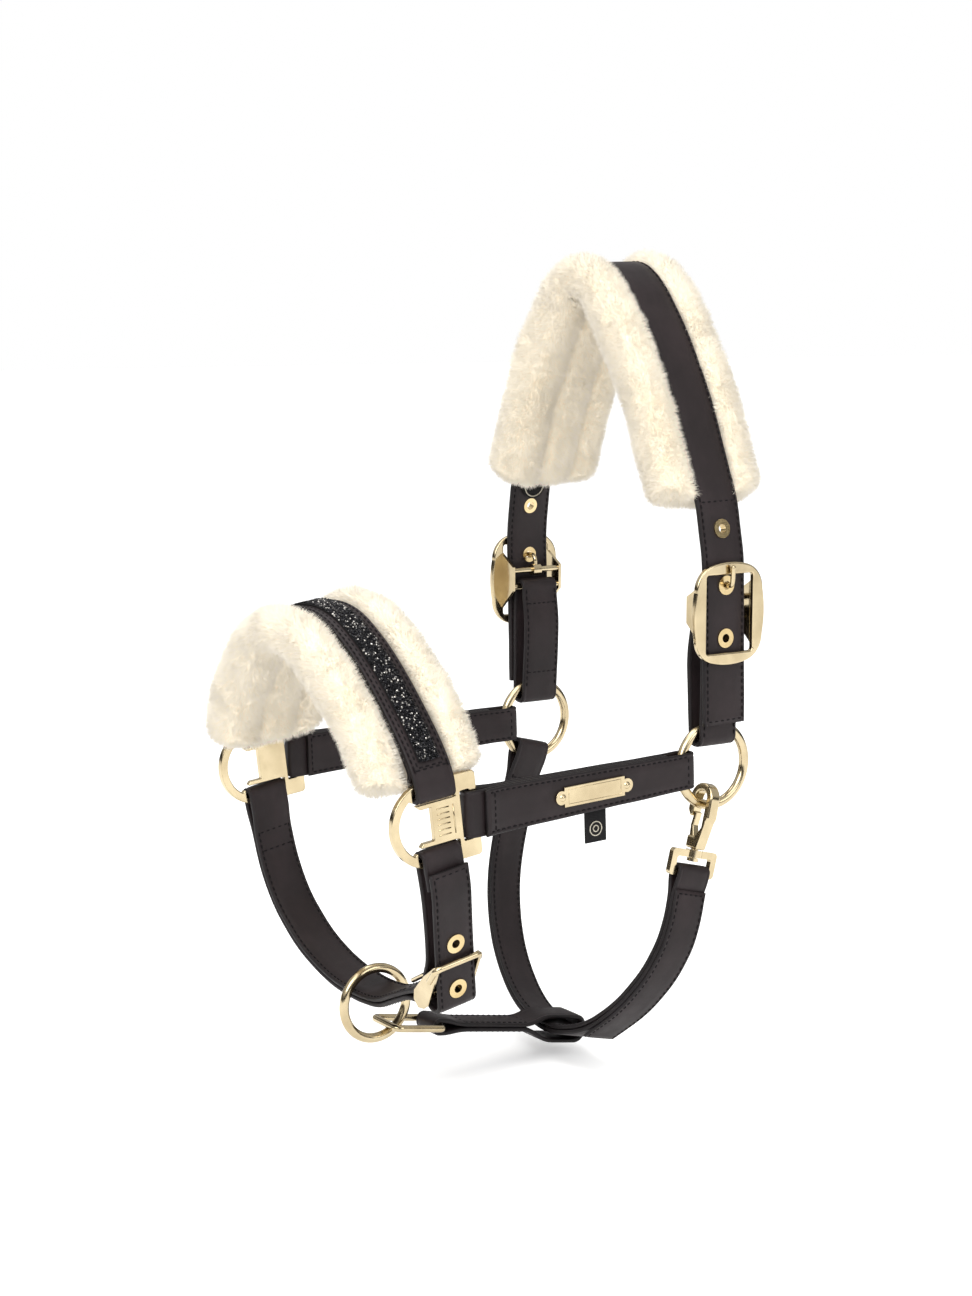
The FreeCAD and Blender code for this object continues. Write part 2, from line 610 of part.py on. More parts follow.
def snap_hook():
    """The swivelling hook: shank on the outer side, nose over the ring's wire, stud below."""
    outline = [
        (-4.2, 42.2), (-4.2, 36), (1.2, 36), (4.4, 31), (4.4, 17.5), (-4.0, 17.5, 0.2, 13.3), (-4.0, 26.5),
        (-5.4, 27.0), (-7.6, 24), (-7.8, 17.5), (8.2, 17.5, 0.2, 9.5), (8.6, 26), (7.4, 28.5), (4.6, 42.2),
    ]
    body = softened(slab(SNAP, outline, -3, 3), 1.0)
    axis = SNAP.t_axis
    stud = Part.makeCylinder(1.8, 6.5, SNAP.at(0, 41), axis)
    cap = Part.makeCylinder(2.9, 1.6, SNAP.at(0, 46.9), axis)
    slot = slab(SNAP, [(-6, 35.5), (0.2, 35.5), (0.2, 41), (-6, 41)], -2.1, 2.1)
    bore = Part.makeCylinder(0.9, 8, SNAP.at(-2.2, 38.6, -4), SNAP.normal)
    return body.cut(slot).fuse([stud, cap]).cut(bore).removeSplitter()


def snap_gate():
    """The sprung gate: a curved tongue on a cross pin."""
    outline = [
        (-3.6, 40.2), (-0.6, 39.6), (-0.8, 36.5), (-2.6, 31), (-1.7, 24.4), (-3.6, 24.2), (-4.6, 31),
        (-4.0, 36.2),
    ]
    blade = softened(slab(SNAP, outline, -1.8, 1.8), 0.4)
    return blade.cut(Part.makeCylinder(0.95, 8, SNAP.at(-2.2, 38.6, -4), SNAP.normal))


def snap_eye():
    face = Sheet(RING, THROAT.normal, THROAT.t_axis)
    frame = slab(face, rounded(-14, 14, 43, EYE_BAR_T + 1.7, 2.0), -1.5, 1.5)
    boss = Part.makeCylinder(4.2, 3.6, SNAP.at(0, 42.8), SNAP.t_axis)
    window = slab(face, rounded(-10.6, 10.6, 46.6, EYE_BAR_T - 1.6, 1.0), -6, 6)
    bore = Part.makeCylinder(1.86, 8, SNAP.at(0, 40), SNAP.t_axis)
    return frame.fuse(boss).cut([window, bore]).removeSplitter()


def throat_nodes():
    return {
        "throat_strap": throat_strap(),
        "snap_eye": snap_eye(),
        "snap_hook": snap_hook(),
        "snap_gate": snap_gate(),
        "snap_gate_pin": Part.makeCylinder(0.88, 6, SNAP.at(-2.2, 38.6, -3), SNAP.normal),
    }


def all_nodes():
    nodes = both_sides("nose_plate", nose_plate())
    groups = (crown_nodes, buckle_nodes, cheek_nodes, nose_nodes, side_nodes, chin_nodes, jaw_nodes, throat_nodes)
    for group in groups:
        nodes.update(group())
    return nodes


os.makedirs("parts", exist_ok=True)
for name, shape in all_nodes().items():
    print(name, round(shape.Volume), shape.isValid(), len(shape.Solids))
    shape.exportStep("parts/" + name + ".step")
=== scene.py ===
"""Looks of the leather headcollar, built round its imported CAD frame.

Routes and sizes are in millimetres, as in the design, and become metres when a mesh is made.
"""
import json
import math
import random

import bmesh
import bpy
import numpy as np
from mathutils import Matrix, Vector, noise

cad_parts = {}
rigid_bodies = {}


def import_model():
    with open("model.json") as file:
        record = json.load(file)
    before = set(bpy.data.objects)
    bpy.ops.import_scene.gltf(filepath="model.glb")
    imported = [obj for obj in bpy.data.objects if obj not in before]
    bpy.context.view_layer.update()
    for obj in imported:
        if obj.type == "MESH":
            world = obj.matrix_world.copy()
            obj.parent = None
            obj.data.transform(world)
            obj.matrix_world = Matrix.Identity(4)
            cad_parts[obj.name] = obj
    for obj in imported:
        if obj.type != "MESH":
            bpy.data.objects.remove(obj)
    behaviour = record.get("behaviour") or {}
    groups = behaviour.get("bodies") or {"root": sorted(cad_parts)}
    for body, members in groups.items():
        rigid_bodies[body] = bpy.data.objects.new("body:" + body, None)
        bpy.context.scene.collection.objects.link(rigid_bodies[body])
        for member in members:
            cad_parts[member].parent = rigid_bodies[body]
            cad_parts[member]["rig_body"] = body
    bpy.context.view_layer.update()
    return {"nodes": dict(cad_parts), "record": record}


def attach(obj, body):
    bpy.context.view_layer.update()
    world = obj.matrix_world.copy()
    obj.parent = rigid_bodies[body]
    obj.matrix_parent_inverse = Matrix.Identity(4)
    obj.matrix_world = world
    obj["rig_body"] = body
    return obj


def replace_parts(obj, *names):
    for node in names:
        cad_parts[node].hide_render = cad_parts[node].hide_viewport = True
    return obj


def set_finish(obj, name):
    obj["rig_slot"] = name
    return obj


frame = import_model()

MM = 0.001
NODES = frame["nodes"]

# ---- driving sizes of the design, mm ----
LEATHER = 2.4
LAYER_GAP = 0.2
SIDE_Y = 3.5
CHEEK_X = 76.5
RING_Z = -224.3
TONGUE_Z = -142.5
PLATE_X, PLATE_Y, PLATE_Z = 83.0, -162.0, -240.0
CROWN_WIDTH, CROWN_LEATHER, BACKING_THICK = 25.0, 3.0, 2.2
NOSE_WIDTH, CHEEK_WIDTH, CHIN_WIDTH = 21.0, 22.0, 21.0
THROAT_WIDTH, OVERLAY_THICK = 19.6, 1.7
JAW_WIDTH, JAW_LEATHER = 18.0, 2.2
JAW_FACE = 2.3          # from the middle of the doubled jaw strap to its face
SLEEVE_THICK = 1.8
SIDE_WIDTH_PLATE, SIDE_WIDTH_RING = 22.0, 18.0
CRYSTAL_WIDTH = 11.0
BAR_R = 1.5
EYELET_BARREL_R = 2.8
BILLET_SLOT_R = 2.4     # the hole that the chin tongue goes through
BILLET_SLOT = (67, 62.3)
LABEL_MIDDLE = (-76.4, -97.2)
NAMEPLATE_RUN = 71      # distances from the plate along the side strap
TAG_RUN = 75


def turned(degrees):
    return math.cos(math.radians(degrees)), math.sin(math.radians(degrees))


class Sheet:
    """A plane with an origin and two unit axes, in which a strap's route is drawn."""

    def __init__(self, origin, s_axis, t_axis):
        self.origin = Vector(origin)
        self.s_axis = Vector(s_axis).normalized()
        self.t_axis = Vector(t_axis).normalized()
        self.normal = self.s_axis.cross(self.t_axis)

    def at(self, s, t, w=0.0):
        return self.origin + self.s_axis * s + self.t_axis * t + self.normal * w


X_AXIS = Vector((1, 0, 0))
CLEAN, LEAN = turned(1.25)
PITCH_C, PITCH_S = turned(7.0)
CHIN_C, CHIN_S = turned(11.0)
THROAT_C, THROAT_S = turned(14.0)
FALL_C, FALL_S = turned(10.0)
LINK_C, LINK_S = turned(45.0)

PLATE = Sheet((PLATE_X, PLATE_Y, PLATE_Z), (0, PITCH_C, PITCH_S), (0, -PITCH_S, PITCH_C))
PLATE_MIDDLE = Vector((0, PLATE_Y, PLATE_Z)) + PLATE.s_axis * 1.9
CROWN = Sheet((0, 0, 0), X_AXIS, (0, -LEAN, CLEAN))
NOSE = Sheet(PLATE_MIDDLE, X_AXIS, PLATE.t_axis)
BUCKLE = Sheet((CHEEK_X, SIDE_Y, TONGUE_Z), X_AXIS, (0, 0, 1))
CHIN = Sheet(PLATE_MIDDLE + PLATE.t_axis * -9.9, X_AXIS, (0, CHIN_S, -CHIN_C))
THROAT = Sheet((0, SIDE_Y, RING_Z), X_AXIS, (0, -THROAT_S, -THROAT_C))
SIDE_START = PLATE.at(17.9, 8.0)
SIDE_RUN = Vector((0, SIDE_Y - SIDE_START.y, RING_Z - SIDE_START.z))
SIDE = Sheet((0, SIDE_START.y, SIDE_START.z), SIDE_RUN, X_AXIS)
SIDE_LENGTH = SIDE_RUN.length
SIDE_TOE = (PLATE_X - CHEEK_X) / SIDE_LENGTH
CHIN_RING_MIDDLE = CHIN.at(-5.0, 93.8)
JAW = Sheet(CHIN_RING_MIDDLE + Vector((0, LINK_C, -LINK_S)) * 17.7, (0, FALL_C, -FALL_S), (0, FALL_S, FALL_C))

# ---- routes of the straps, the same as in the design ----
CROWN_HALF = [
    (83.6, -203), (83.6, -122), (78.6, -94), (71.2, -77), (58.4, -44.5), (39.8, -13), (22, 9.3), (8, 18.6),
]
CROWN_RADII = {1: 79.0, 14: 79.0}
CHEEK_ROUTE = [
    (4.0, -5.8), (4.0, -70.9), (-4.1, -70.9), (-5.4, -50), (-6.6, -28), (-4.0, -12), (-4.0, -5.8),
]
CHEEK_RADII = {0: 3.6, 1: 3.6, 2: 3.2, 6: 3.2}
NOSE_HALF = [(83, 33), (78, 41), (69, 53), (54.5, 69.5), (37.5, 84.5), (22, 93.5), (7.5, 97.2)]
BAND_END = (81.1, 36.0)
NOSE_FOLD = [(86.3, 27.5), (86.3, 20.0), (79.7, 20.0), (79.7, 27.5)]
NOSE_PAD_HALF = [(81, 24), (77.8, 39)] + NOSE_HALF[2:]
CHIN_STRAP_MID = [
    (-83, 15), (-83, 32), (-76.5, 54), (-58, 73), (-33, 84), (-5, 87), (16, 85), (32, 78), (47.5, 71.6),
]
CHIN_PLATE_FOLD = [(-79.7, 6), (-79.7, -5.9), (-86.3, -5.9), (-86.3, 6)]
STRAP_BAR = (61.2, 69.2)
BILLET = [
    (86.3, 11), (86.3, -5.9), (79.7, -5.9), (79.7, 12), (76.5, 34), (72.5, 50), (67, 57.5), (66.9, 73),
    (75.6, 74), (80, 53), (85.8, 27), (89.2, 14), (89.6, 3),
]
BILLET_RADII = {1: 2.1, 2: 2.1, 7: 4.2, 8: 4.2}
THROAT_MID = [
    (-76.8, 30), (-78, 62), (-76, 84), (-69, 105), (-54, 127), (-31, 145.5), (0, 154), (31, 145.5),
    (54, 127), (69, 107), (76, 90), (77.5, 76), (76.8, 65),
]
THROAT_RING_FOLD = [(-72.5, 21), (-72.5, 12.8), (-80.5, 12.8), (-80.5, 21)]
EYE_FOLD_T = 51.3
THROAT_EYE_FOLD = [(CHEEK_X + s, EYE_FOLD_T + t) for s, t in ((3.2, 6), (3.2, 0), (-3.2, 0), (-3.2, 6))]
LINK_REAR = 21.0


# ---- flat geometry ----
def unit(a, b):
    length = math.hypot(b[0] - a[0], b[1] - a[1])
    return (b[0] - a[0]) / length, (b[1] - a[1]) / length, length


def offset_route(route, distance):
    """The same route moved sideways; its end points move square to their runs."""
    moved = []
    for i, here in enumerate(route):
        last = len(route) - 1
        before = unit(route[max(i - 1, 0)], route[max(i, 1)])
        after = unit(route[min(i, last - 1)], route[min(i + 1, last)])
        nx, ny = -(before[1] + after[1]), before[0] + after[0]
        scale = distance * 2 / (nx * nx + ny * ny)
        moved.append((here[0] + nx * scale, here[1] + ny * scale))
    return moved


def corner(before, here, after, radius=None):
    """Centre, radius, turn and end points of one rounded corner."""
    ax, ay, run_in = unit(before, here)
    bx, by, run_out = unit(here, after)
    turn = math.atan2(ax * by - ay * bx, ax * bx + ay * by)
    half_tan = math.tan(abs(turn) / 2)
    radius = radius or 0.45 * min(run_in, run_out) / half_tan
    reach = radius * half_tan
    side = 1 if turn > 0 else -1
    start = (here[0] - ax * reach, here[1] - ay * reach)
    centre = (start[0] - ay * side * radius, start[1] + ax * side * radius)
    return centre, radius, turn, start


class Route:
    """A route with round corners in a sheet, as close samples with their left-hand normals."""

    def __init__(self, sheet, points, radii=None, closed=False, step=3.0):
        self.sheet = sheet
        self.closed = closed
        radii = radii or {}
        count = len(points)
        line = [] if closed else [points[0]]
        for i in range(count):
            if not closed and i in (0, count - 1):
                continue
            centre, radius, turn, start = corner(points[i - 1], points[i], points[(i + 1) % count], radii.get(i))
            first = math.atan2(start[1] - centre[1], start[0] - centre[0])
            parts = max(2, math.ceil(abs(turn) / math.radians(9)), math.ceil(abs(turn) * radius / step))
            line += [(centre[0] + radius * math.cos(first + turn * k / parts),
                      centre[1] + radius * math.sin(first + turn * k / parts)) for k in range(parts + 1)]
        if not closed:
            line.append(points[-1])
        self.points = self.divided(line, step)
        p = self.points
        ahead, behind = np.roll(p, -1, 0), np.roll(p, 1, 0)
        if not closed:
            ahead[-1], behind[0] = p[-1], p[0]
        tangent = ahead - behind
        tangent /= np.linalg.norm(tangent, axis=1)[:, None]
        self.normals = np.stack([-tangent[:, 1], tangent[:, 0]], 1)
        gaps = np.linalg.norm(np.diff(p, axis=0), axis=1)
        self.distance = np.concatenate([[0.0], np.cumsum(gaps)])
        self.length = float(self.distance[-1])

    def divided(self, line, step):
        """The line with its long straight runs divided."""
        ends = line[1:] + (line[:1] if self.closed else [])
        made = []
        for a, b in zip(line, ends):
            parts = max(1, math.ceil(math.dist(a, b) / step))
            if math.dist(a, b) > 1e-6:
                made += [(a[0] + (b[0] - a[0]) * k / parts, a[1] + (b[1] - a[1]) * k / parts) for k in range(parts)]
        if not self.closed:
            made.append(line[-1])
        return np.array(made)

    def flat(self, distance):
        """Place and left normal at a distance along the route."""
        place = [np.interp(distance, self.distance, self.points[:, k]) for k in (0, 1)]
        normal = [np.interp(distance, self.distance, self.normals[:, k]) for k in (0, 1)]
        size = math.hypot(*normal)
        return place, [n / size for n in normal]

    def at(self, distance, w=0.0, d=0.0):
        """The point at a distance along, w across the strap and d to the left, in mm."""
        place, normal = self.flat(distance)
        return self.sheet.at(place[0] + normal[0] * d, place[1] + normal[1] * d, w)

    def axes(self, distance):
        """Along, across and left directions at a distance."""
        _, normal = self.flat(distance)
        left = self.sheet.s_axis * normal[0] + self.sheet.t_axis * normal[1]
        along = self.sheet.s_axis * normal[1] - self.sheet.t_axis * normal[0]
        return along, self.sheet.normal.copy(), left

    def where(self, s, t):
        """The distance along the route of the sample nearest to a flat point."""
        return float(self.distance[np.argmin(np.linalg.norm(self.points - np.array((s, t)), axis=1))])


def there_and_back(half):
    """A route symmetric about the middle plane, from its near half."""
    return half + [(-s, t) for s, t in reversed(half)]


def doubled_route(sheet, middle, first_fold, last_fold, thick=LEATHER):
    """The closed loop of a two-layer strap along a middle route with a fold at each end."""
    half = (thick + LAYER_GAP) / 2
    there = offset_route(middle, half)
    back = offset_route(middle, -half)[::-1]
    loop = first_fold + there + last_fold + back
    second = len(first_fold) + len(there)
    radii = {i: thick / 2 + 0.9 for i in (1, 2, second + 1, second + 2)}
    for i in range(1, len(middle) - 1):
        _, radius, turn, _ = corner(middle[i - 1], middle[i], middle[i + 1])
        side = 1 if turn > 0 else -1
        radii[len(first_fold) + i] = radius - side * half
        radii[len(loop) - 1 - i] = radius + side * half
    return Route(sheet, loop, radii, closed=True)


# ---- meshes ----
def add_object(name, data):
    """A new object in the scene."""
    piece = bpy.data.objects.new(name, data)
    bpy.context.scene.collection.objects.link(piece)
    return piece


def mesh_piece(name, verts, faces, material, smooth=True, body="harness", slot=None):
    """A mesh piece from points in mm, riding on a body."""
    data = bpy.data.meshes.new(name)
    data.from_pydata([tuple(c * MM for c in v) for v in verts], [], faces)
    data.validate()
    piece = add_object(name, data)
    tidy = bmesh.new()
    tidy.from_mesh(data)
    bmesh.ops.recalc_face_normals(tidy, faces=tidy.faces)
    for face in tidy.faces:
        face.smooth = smooth
    tidy.to_mesh(data)
    tidy.free()
    data.materials.append(material)
    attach(piece, body)
    if slot:
        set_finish(piece, slot)
    return piece


def mirrored(piece, name):
    """A copy of a piece on the other side of the middle plane."""
    data = piece.data.copy()
    data.transform(Matrix.Scale(-1, 4, X_AXIS))
    data.flip_normals()
    copy = add_object(name, data)
    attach(copy, piece["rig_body"])
    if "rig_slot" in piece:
        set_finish(copy, piece["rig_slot"])
    return copy


# Half of a leather strap's outline from its edge inwards: inset from the edge, and share of the half thickness.
EDGE_PROFILE = [(0.0, 0.0), (0.08, 0.42), (0.32, 0.74), (0.75, 0.95), (1.15, 1.0)]
GROOVE_INSETS = [(1.5, 0.84), (2.1, 0.84), (2.6, 1.0)]


def section(half_width, thick, groove=True):
    """The closed outline (w, d) of a strap's cross-section, with a stitching groove near each edge."""
    half = thick / 2
    quarter = EDGE_PROFILE + (GROOVE_INSETS if groove else [])
    upper = [(-half_width + inset, share * half) for inset, share in quarter]
    upper += [(-half_width * 0.4, half * 1.03), (half_width * 0.4, half * 1.03)]
    upper += [(half_width - inset, share * half) for inset, share in reversed(quarter)]
    lower = [(w, -d) for w, d in reversed(upper[1:-1])]
    return upper + lower


def tube_faces(first, size, count, closed):
    """The faces of a tube of count rings of size points, with end faces unless it is closed on itself."""
    faces = []
    for i in range(count if closed else count - 1):
        a, b = first + i * size, first + (i + 1) % count * size
        faces += [(a + k, a + (k + 1) % size, b + (k + 1) % size, b + k) for k in range(size)]
    if not closed:
        last = first + (count - 1) * size
        faces += [tuple(range(first, first + size)), tuple(range(last, last + size))[::-1]]
    return faces


def sweep(name, route, thick, width, shift=0.0, groove=True, wobble=0.12, material=None, edge=None):
    """A strap: its section swept along the route. width may be a function of the route's first coordinate."""
    verts = []
    for place, normal in zip(route.points, route.normals):
        wide = width(place[0]) if callable(width) else width
        ring = section(wide / 2, thick, groove)
        base = route.sheet.at(place[0], place[1])
        lift = wobble * noise.noise(base * 0.045)
        sway = wobble * 1.5 * noise.noise(base * 0.06 + Vector((9, 9, 9)))
        for w, d in ring:
            out = shift + d + lift
            verts.append(route.sheet.at(place[0] + normal[0] * out, place[1] + normal[1] * out, w + sway))
    size = len(ring)
    faces = tube_faces(0, size, len(route.points), route.closed)
    piece = mesh_piece(name, verts, faces, material or STRAP, slot="strap_leather")
    piece.data.materials.append(edge or EDGE)
    near_edge = 3
    for face in piece.data.polygons:
        spots = [v % size for v in face.vertices]
        if len(spots) > 4 or all(min(k, abs(k - size // 2), size - k) <= near_edge for k in spots):
            face.material_index = 1
    return piece


def cut_holes(piece, places, radius=EYELET_BARREL_R):
    """Round holes through a strap at (place, outward) pairs."""
    cutter = bmesh.new()
    for place, outward in places:
        turn = outward.to_track_quat("Z", "Y").to_matrix().to_4x4()
        bmesh.ops.create_cone(cutter, cap_ends=True, segments=32, radius1=radius * MM, radius2=radius * MM,
                              depth=12 * MM, matrix=Matrix.Translation(place * MM) @ turn)
    data = bpy.data.meshes.new("cutter")
    cutter.to_mesh(data)
    cutter.free()
    tool = add_object("cutter", data)
    modifier = piece.modifiers.new("holes", "BOOLEAN")
    modifier.operation = "DIFFERENCE"
    modifier.solver = "EXACT"
    modifier.object = tool
    graph = bpy.context.evaluated_depsgraph_get()
    final = bpy.data.meshes.new_from_object(piece.evaluated_get(graph))
    piece.modifiers.clear()
    piece.data = final
    bpy.data.objects.remove(tool)


# ---- stitching ----
STITCH_RINGS = [(-0.72, 0.78), (0.0, 1.0), (0.72, 0.78)]
STITCH_SIDES = 6


def stitch_template():
    """One stitch along X, from -1 to 1, with unit radius."""
    verts = [(-1.0, 0, 0)]
    for x, r in STITCH_RINGS:
        verts += [(x, r * math.cos(math.tau * k / STITCH_SIDES), r * math.sin(math.tau * k / STITCH_SIDES))
                  for k in range(STITCH_SIDES)]
    verts.append((1.0, 0, 0))
    last = len(verts) - 1
    faces = []
    tail = last - STITCH_SIDES
    for k in range(STITCH_SIDES):
        after = (k + 1) % STITCH_SIDES
        faces.append((0, 1 + after, 1 + k))
        faces += [(a + k, a + after, a + after + STITCH_SIDES, a + k + STITCH_SIDES)
                  for a in range(1, tail, STITCH_SIDES)]
        faces.append((tail + k, tail + after, last))
    return verts, faces


STITCH_PITCH = 3.3
STITCH_HALF = 1.15
STITCH_R = 0.42
STITCH_INSET = 1.8      # from a strap's edge to its row of stitches


def stitch_half(width):
    """Half the distance between a strap's two edge rows."""
    return width / 2 - STITCH_INSET


def row_along(route, w, d, start, stop):
    """Stitches (centre, along, outward) from start to stop, mm. w may depend on the route's first coordinate."""
    count = max(1, int((stop - start) / STITCH_PITCH))
    made = []
    for k in range(count):
        spot = start + (k + 0.5) * (stop - start) / count
        along, _, left = route.axes(spot)
        wide = w(route.flat(spot)[0][0]) if callable(w) else w
        made.append((route.at(spot, wide, d), along, left if d > 0 else -left))
    return made


def row_across(route, spot, half, d):
    """Stitches across the strap at one distance."""
    count = max(1, round(2 * half / STITCH_PITCH))
    _, across, left = route.axes(spot)
    return [(route.at(spot, -half + (k + 0.5) * 2 * half / count, d), across, left if d > 0 else -left)
            for k in range(count)]


def box_rows(route, half, d, start, stop, cross=()):
    """Both edge rows from start to stop, with rows across at the given distances."""
    rows = row_along(route, half, d, start, stop) + row_along(route, -half, d, start, stop)
    for spot in cross:
        rows += row_across(route, spot, half, d)
    return rows


def both_faces(route, half, d, start, stop, cross):
    """The same rows on both faces of a strap."""
    return box_rows(route, half, d, start, stop, cross) + box_rows(route, half, -d, start, stop, cross)


def thread(name, rows):
    """One piece of many stitches."""
    shape, links = stitch_template()
    verts, faces = [], []
    for centre, along, outward in rows:
        side = outward.cross(along).normalized()
        first = len(verts)
        for x, y, z in shape:
            sink = 0.35 * x * x
            verts.append(centre + along * x * STITCH_HALF + side * y * STITCH_R
                         + outward * (z * STITCH_R * 0.8 - sink * STITCH_R))
        faces += [tuple(first + k for k in face) for face in links]
    return mesh_piece(name, verts, faces, THREAD, slot="thread")


# ---- materials ----
def fill_ramp(node, stops):
    """Gives a ramp node its (position, colour or grey) stops."""
    elements = node.color_ramp.elements
    while len(elements) < len(stops):
        elements.new(0.5)
    for element, (position, color) in zip(elements, stops):
        element.position = position
        element.color = (*color, 1.0) if hasattr(color, "__len__") else (color, color, color, 1.0)


class Shader:
    """A principled material whose inputs can be fed by procedural nodes."""

    def __init__(self, name, color, roughness, metallic=0.0, **constants):
        self.material = bpy.data.materials.new(name)
        self.material.use_nodes = True
        self.tree = self.material.node_tree
        self.bsdf = self.tree.nodes["Principled BSDF"]
        self.set("Base Color", (*color, 1.0))
        self.set("Roughness", roughness)
        self.set("Metallic", metallic)
        for key, value in constants.items():
            self.set(key.replace("_", " "), value)
        self.material.diffuse_color = (*color, 1.0)

    def set(self, socket, value):
        self.bsdf.inputs[socket].default_value = value

    def node(self, kind, **settings):
        node = self.tree.nodes.new(kind)
        for key, value in settings.items():
            if key in node.inputs:
                node.inputs[key].default_value = value
            else:
                setattr(node, key, value)
        return node

    def link(self, a, b):
        self.tree.links.new(a, b)

    def texture(self, kind, output, **settings):
        """One output of a texture node that lies in the object's own space."""
        node = self.node(kind, **settings)
        self.link(self.node("ShaderNodeTexCoord").outputs["Object"], node.inputs["Vector"])
        return node.outputs[output]

    def noise(self, scale, detail=4.0, roughness=0.55):
        return self.texture("ShaderNodeTexNoise", "Fac", Scale=scale, Detail=detail, Roughness=roughness)

    def cells(self, scale):
        return self.texture("ShaderNodeTexVoronoi", "Distance", Scale=scale, feature="DISTANCE_TO_EDGE")

    def threads(self, direction):
        return self.texture("ShaderNodeTexWave", "Fac", Scale=420.0, bands_direction=direction)

    def ramp(self, source, stops):
        """A colour or grey ramp of (position, colour) stops."""
        node = self.node("ShaderNodeValToRGB")
        fill_ramp(node, stops)
        self.link(source, node.inputs["Fac"])
        return node.outputs["Color"]

    def color(self, source):
        self.link(source, self.bsdf.inputs["Base Color"])

    def gloss(self, source, low, high):
        """Roughness from low to high as the source goes from 0 to 1."""
        node = self.node("ShaderNodeMapRange")
        node.inputs["To Min"].default_value = low
        node.inputs["To Max"].default_value = high
        self.link(source, node.inputs["Value"])
        self.link(node.outputs["Result"], self.bsdf.inputs["Roughness"])

    def bump(self, heights):
        """Stacked bumps from (source, strength, distance in metres)."""
        normal = None
        for source, strength, distance in heights:
            node = self.node("ShaderNodeBump", Strength=strength, Distance=distance)
            self.link(source, node.inputs["Height"])
            if normal:
                self.link(normal, node.inputs["Normal"])
            normal = node.outputs["Normal"]
        self.link(normal, self.bsdf.inputs["Normal"])


def leather(name, dark, mid, light, rough_low, rough_high):
    shader = Shader(name, mid, rough_low, Specular_IOR_Level=0.24)
    patches = shader.noise(38.0, 5.0)
    shader.color(shader.ramp(patches, [(0.3, dark), (0.52, mid), (0.75, light)]))
    shader.gloss(shader.noise(220.0, 3.0), rough_low, rough_high)
    shader.bump([(shader.cells(1500.0), 0.22, 0.0001), (shader.noise(900.0, 3.0), 0.16, 0.0002),
                 (shader.noise(70.0, 2.0), 0.10, 0.0008)])
    return shader.material


def metal(name, tint, deep, rough):
    """Polished plated metal with faint wear and handling marks."""
    shader = Shader(name, tint, rough, metallic=1.0)
    shader.color(shader.ramp(shader.noise(55.0, 3.0), [(0.35, deep), (0.65, tint)]))
    shader.gloss(shader.noise(420.0, 6.0, 0.7), rough * 0.7, rough * 1.6)
    shader.bump([(shader.noise(260.0, 2.0), 0.05, 0.0002)])
    return shader.material


def painted_glow(shader):
    """Paints light into pale pile: a faint warm emission that lifts its shadows, in place of light passed on from
    strand to strand.
    """
    shader.set("Emission Color", (1.0, 0.91, 0.78, 1.0))
    shader.set("Emission Strength", 0.14)


def fur(name, root, tip):
    """Plush: the pile's roots are deeper in colour than its tips."""
    shader = Shader(name, tip, 0.85, Sheen_Weight=0.35, Sheen_Roughness=0.45, Specular_IOR_Level=0.2)
    shader.set("Sheen Tint", (1.0, 0.96, 0.86, 1.0))
    # painted glow: a faint warm emission brightens the pile's shadows
    painted_glow(shader)
    height = shader.node("ShaderNodeAttribute", attribute_name="height").outputs["Fac"]
    middle = [(a + b) / 2 for a, b in zip(root, tip)]
    shader.color(shader.ramp(height, [(0.0, root), (0.55, middle), (1.0, tip)]))
    return shader.material


def fur_skin():
    shader = Shader("fur_skin", (0.90, 0.80, 0.62), 0.95, Sheen_Weight=0.3)
    # painted glow: a faint warm emission brightens the pad's shadows
    painted_glow(shader)
    shader.color(shader.ramp(shader.noise(180.0, 4.0), [(0.3, (0.88, 0.76, 0.55)), (0.7, (0.95, 0.87, 0.72))]))
    shader.bump([(shader.noise(700.0, 4.0), 0.8, 0.0012)])
    return shader.material


def crystal():
    shader = Shader("crystal", (0.05, 0.05, 0.055), 0.07, metallic=0.85)
    tone = shader.node("ShaderNodeAttribute", attribute_name="tone").outputs["Fac"]
    shader.color(shader.ramp(tone, [(0.0, (0.004, 0.004, 0.005)), (0.74, (0.02, 0.02, 0.023)),
                                    (0.90, (0.12, 0.115, 0.11)), (1.0, (0.66, 0.63, 0.58))]))
    shader.gloss(shader.noise(900.0, 2.0), 0.04, 0.14)
    return shader.material


def weave(name, color, light):
    """Fine woven label cloth: warp and weft waves."""
    shader = Shader(name, color, 0.8, Sheen_Weight=0.04, Specular_IOR_Level=0.2)
    warp, weft = shader.threads("Y"), shader.threads("Z")
    shader.color(shader.ramp(warp, [(0.2, color), (0.8, light)]))
    shader.bump([(warp, 0.4, 0.0002), (weft, 0.4, 0.0002)])
    return shader.material


def twisted_thread():
    shader = Shader("thread", (0.003, 0.002, 0.0025), 0.75, Specular_IOR_Level=0.2)
    strands = shader.noise(1200.0, 2.0)
    shader.color(shader.ramp(strands, [(0.3, (0.002, 0.0015, 0.002)), (0.7, (0.006, 0.004, 0.005))]))
    shader.bump([(shader.noise(2500.0, 2.0), 0.5, 0.0001)])
    return shader.material


STRAP = leather("strap_leather", (0.0105, 0.0068, 0.0072), (0.015, 0.0098, 0.0104), (0.023, 0.0152, 0.0162),
                0.42, 0.60)
EDGE = leather("strap_edge", (0.006, 0.0045, 0.005), (0.009, 0.0065, 0.007), (0.013, 0.010, 0.011), 0.46, 0.64)
LINING = leather("strap_lining", (0.010, 0.007, 0.0075), (0.014, 0.010, 0.0105), (0.019, 0.014, 0.0145), 0.6, 0.8)
GOLD = metal("gold_hardware", (0.60, 0.50, 0.32), (0.47, 0.38, 0.235), 0.14)
BRASS = metal("brass_eyelet", (0.68, 0.54, 0.30), (0.55, 0.41, 0.20), 0.17)
PILE = fur("fur_pile", (0.96, 0.84, 0.62), (0.985, 0.955, 0.89))
MARK = weave("mark_thread", (0.36, 0.33, 0.26), (0.60, 0.56, 0.46))
SKIN = fur_skin()
STONES = crystal()
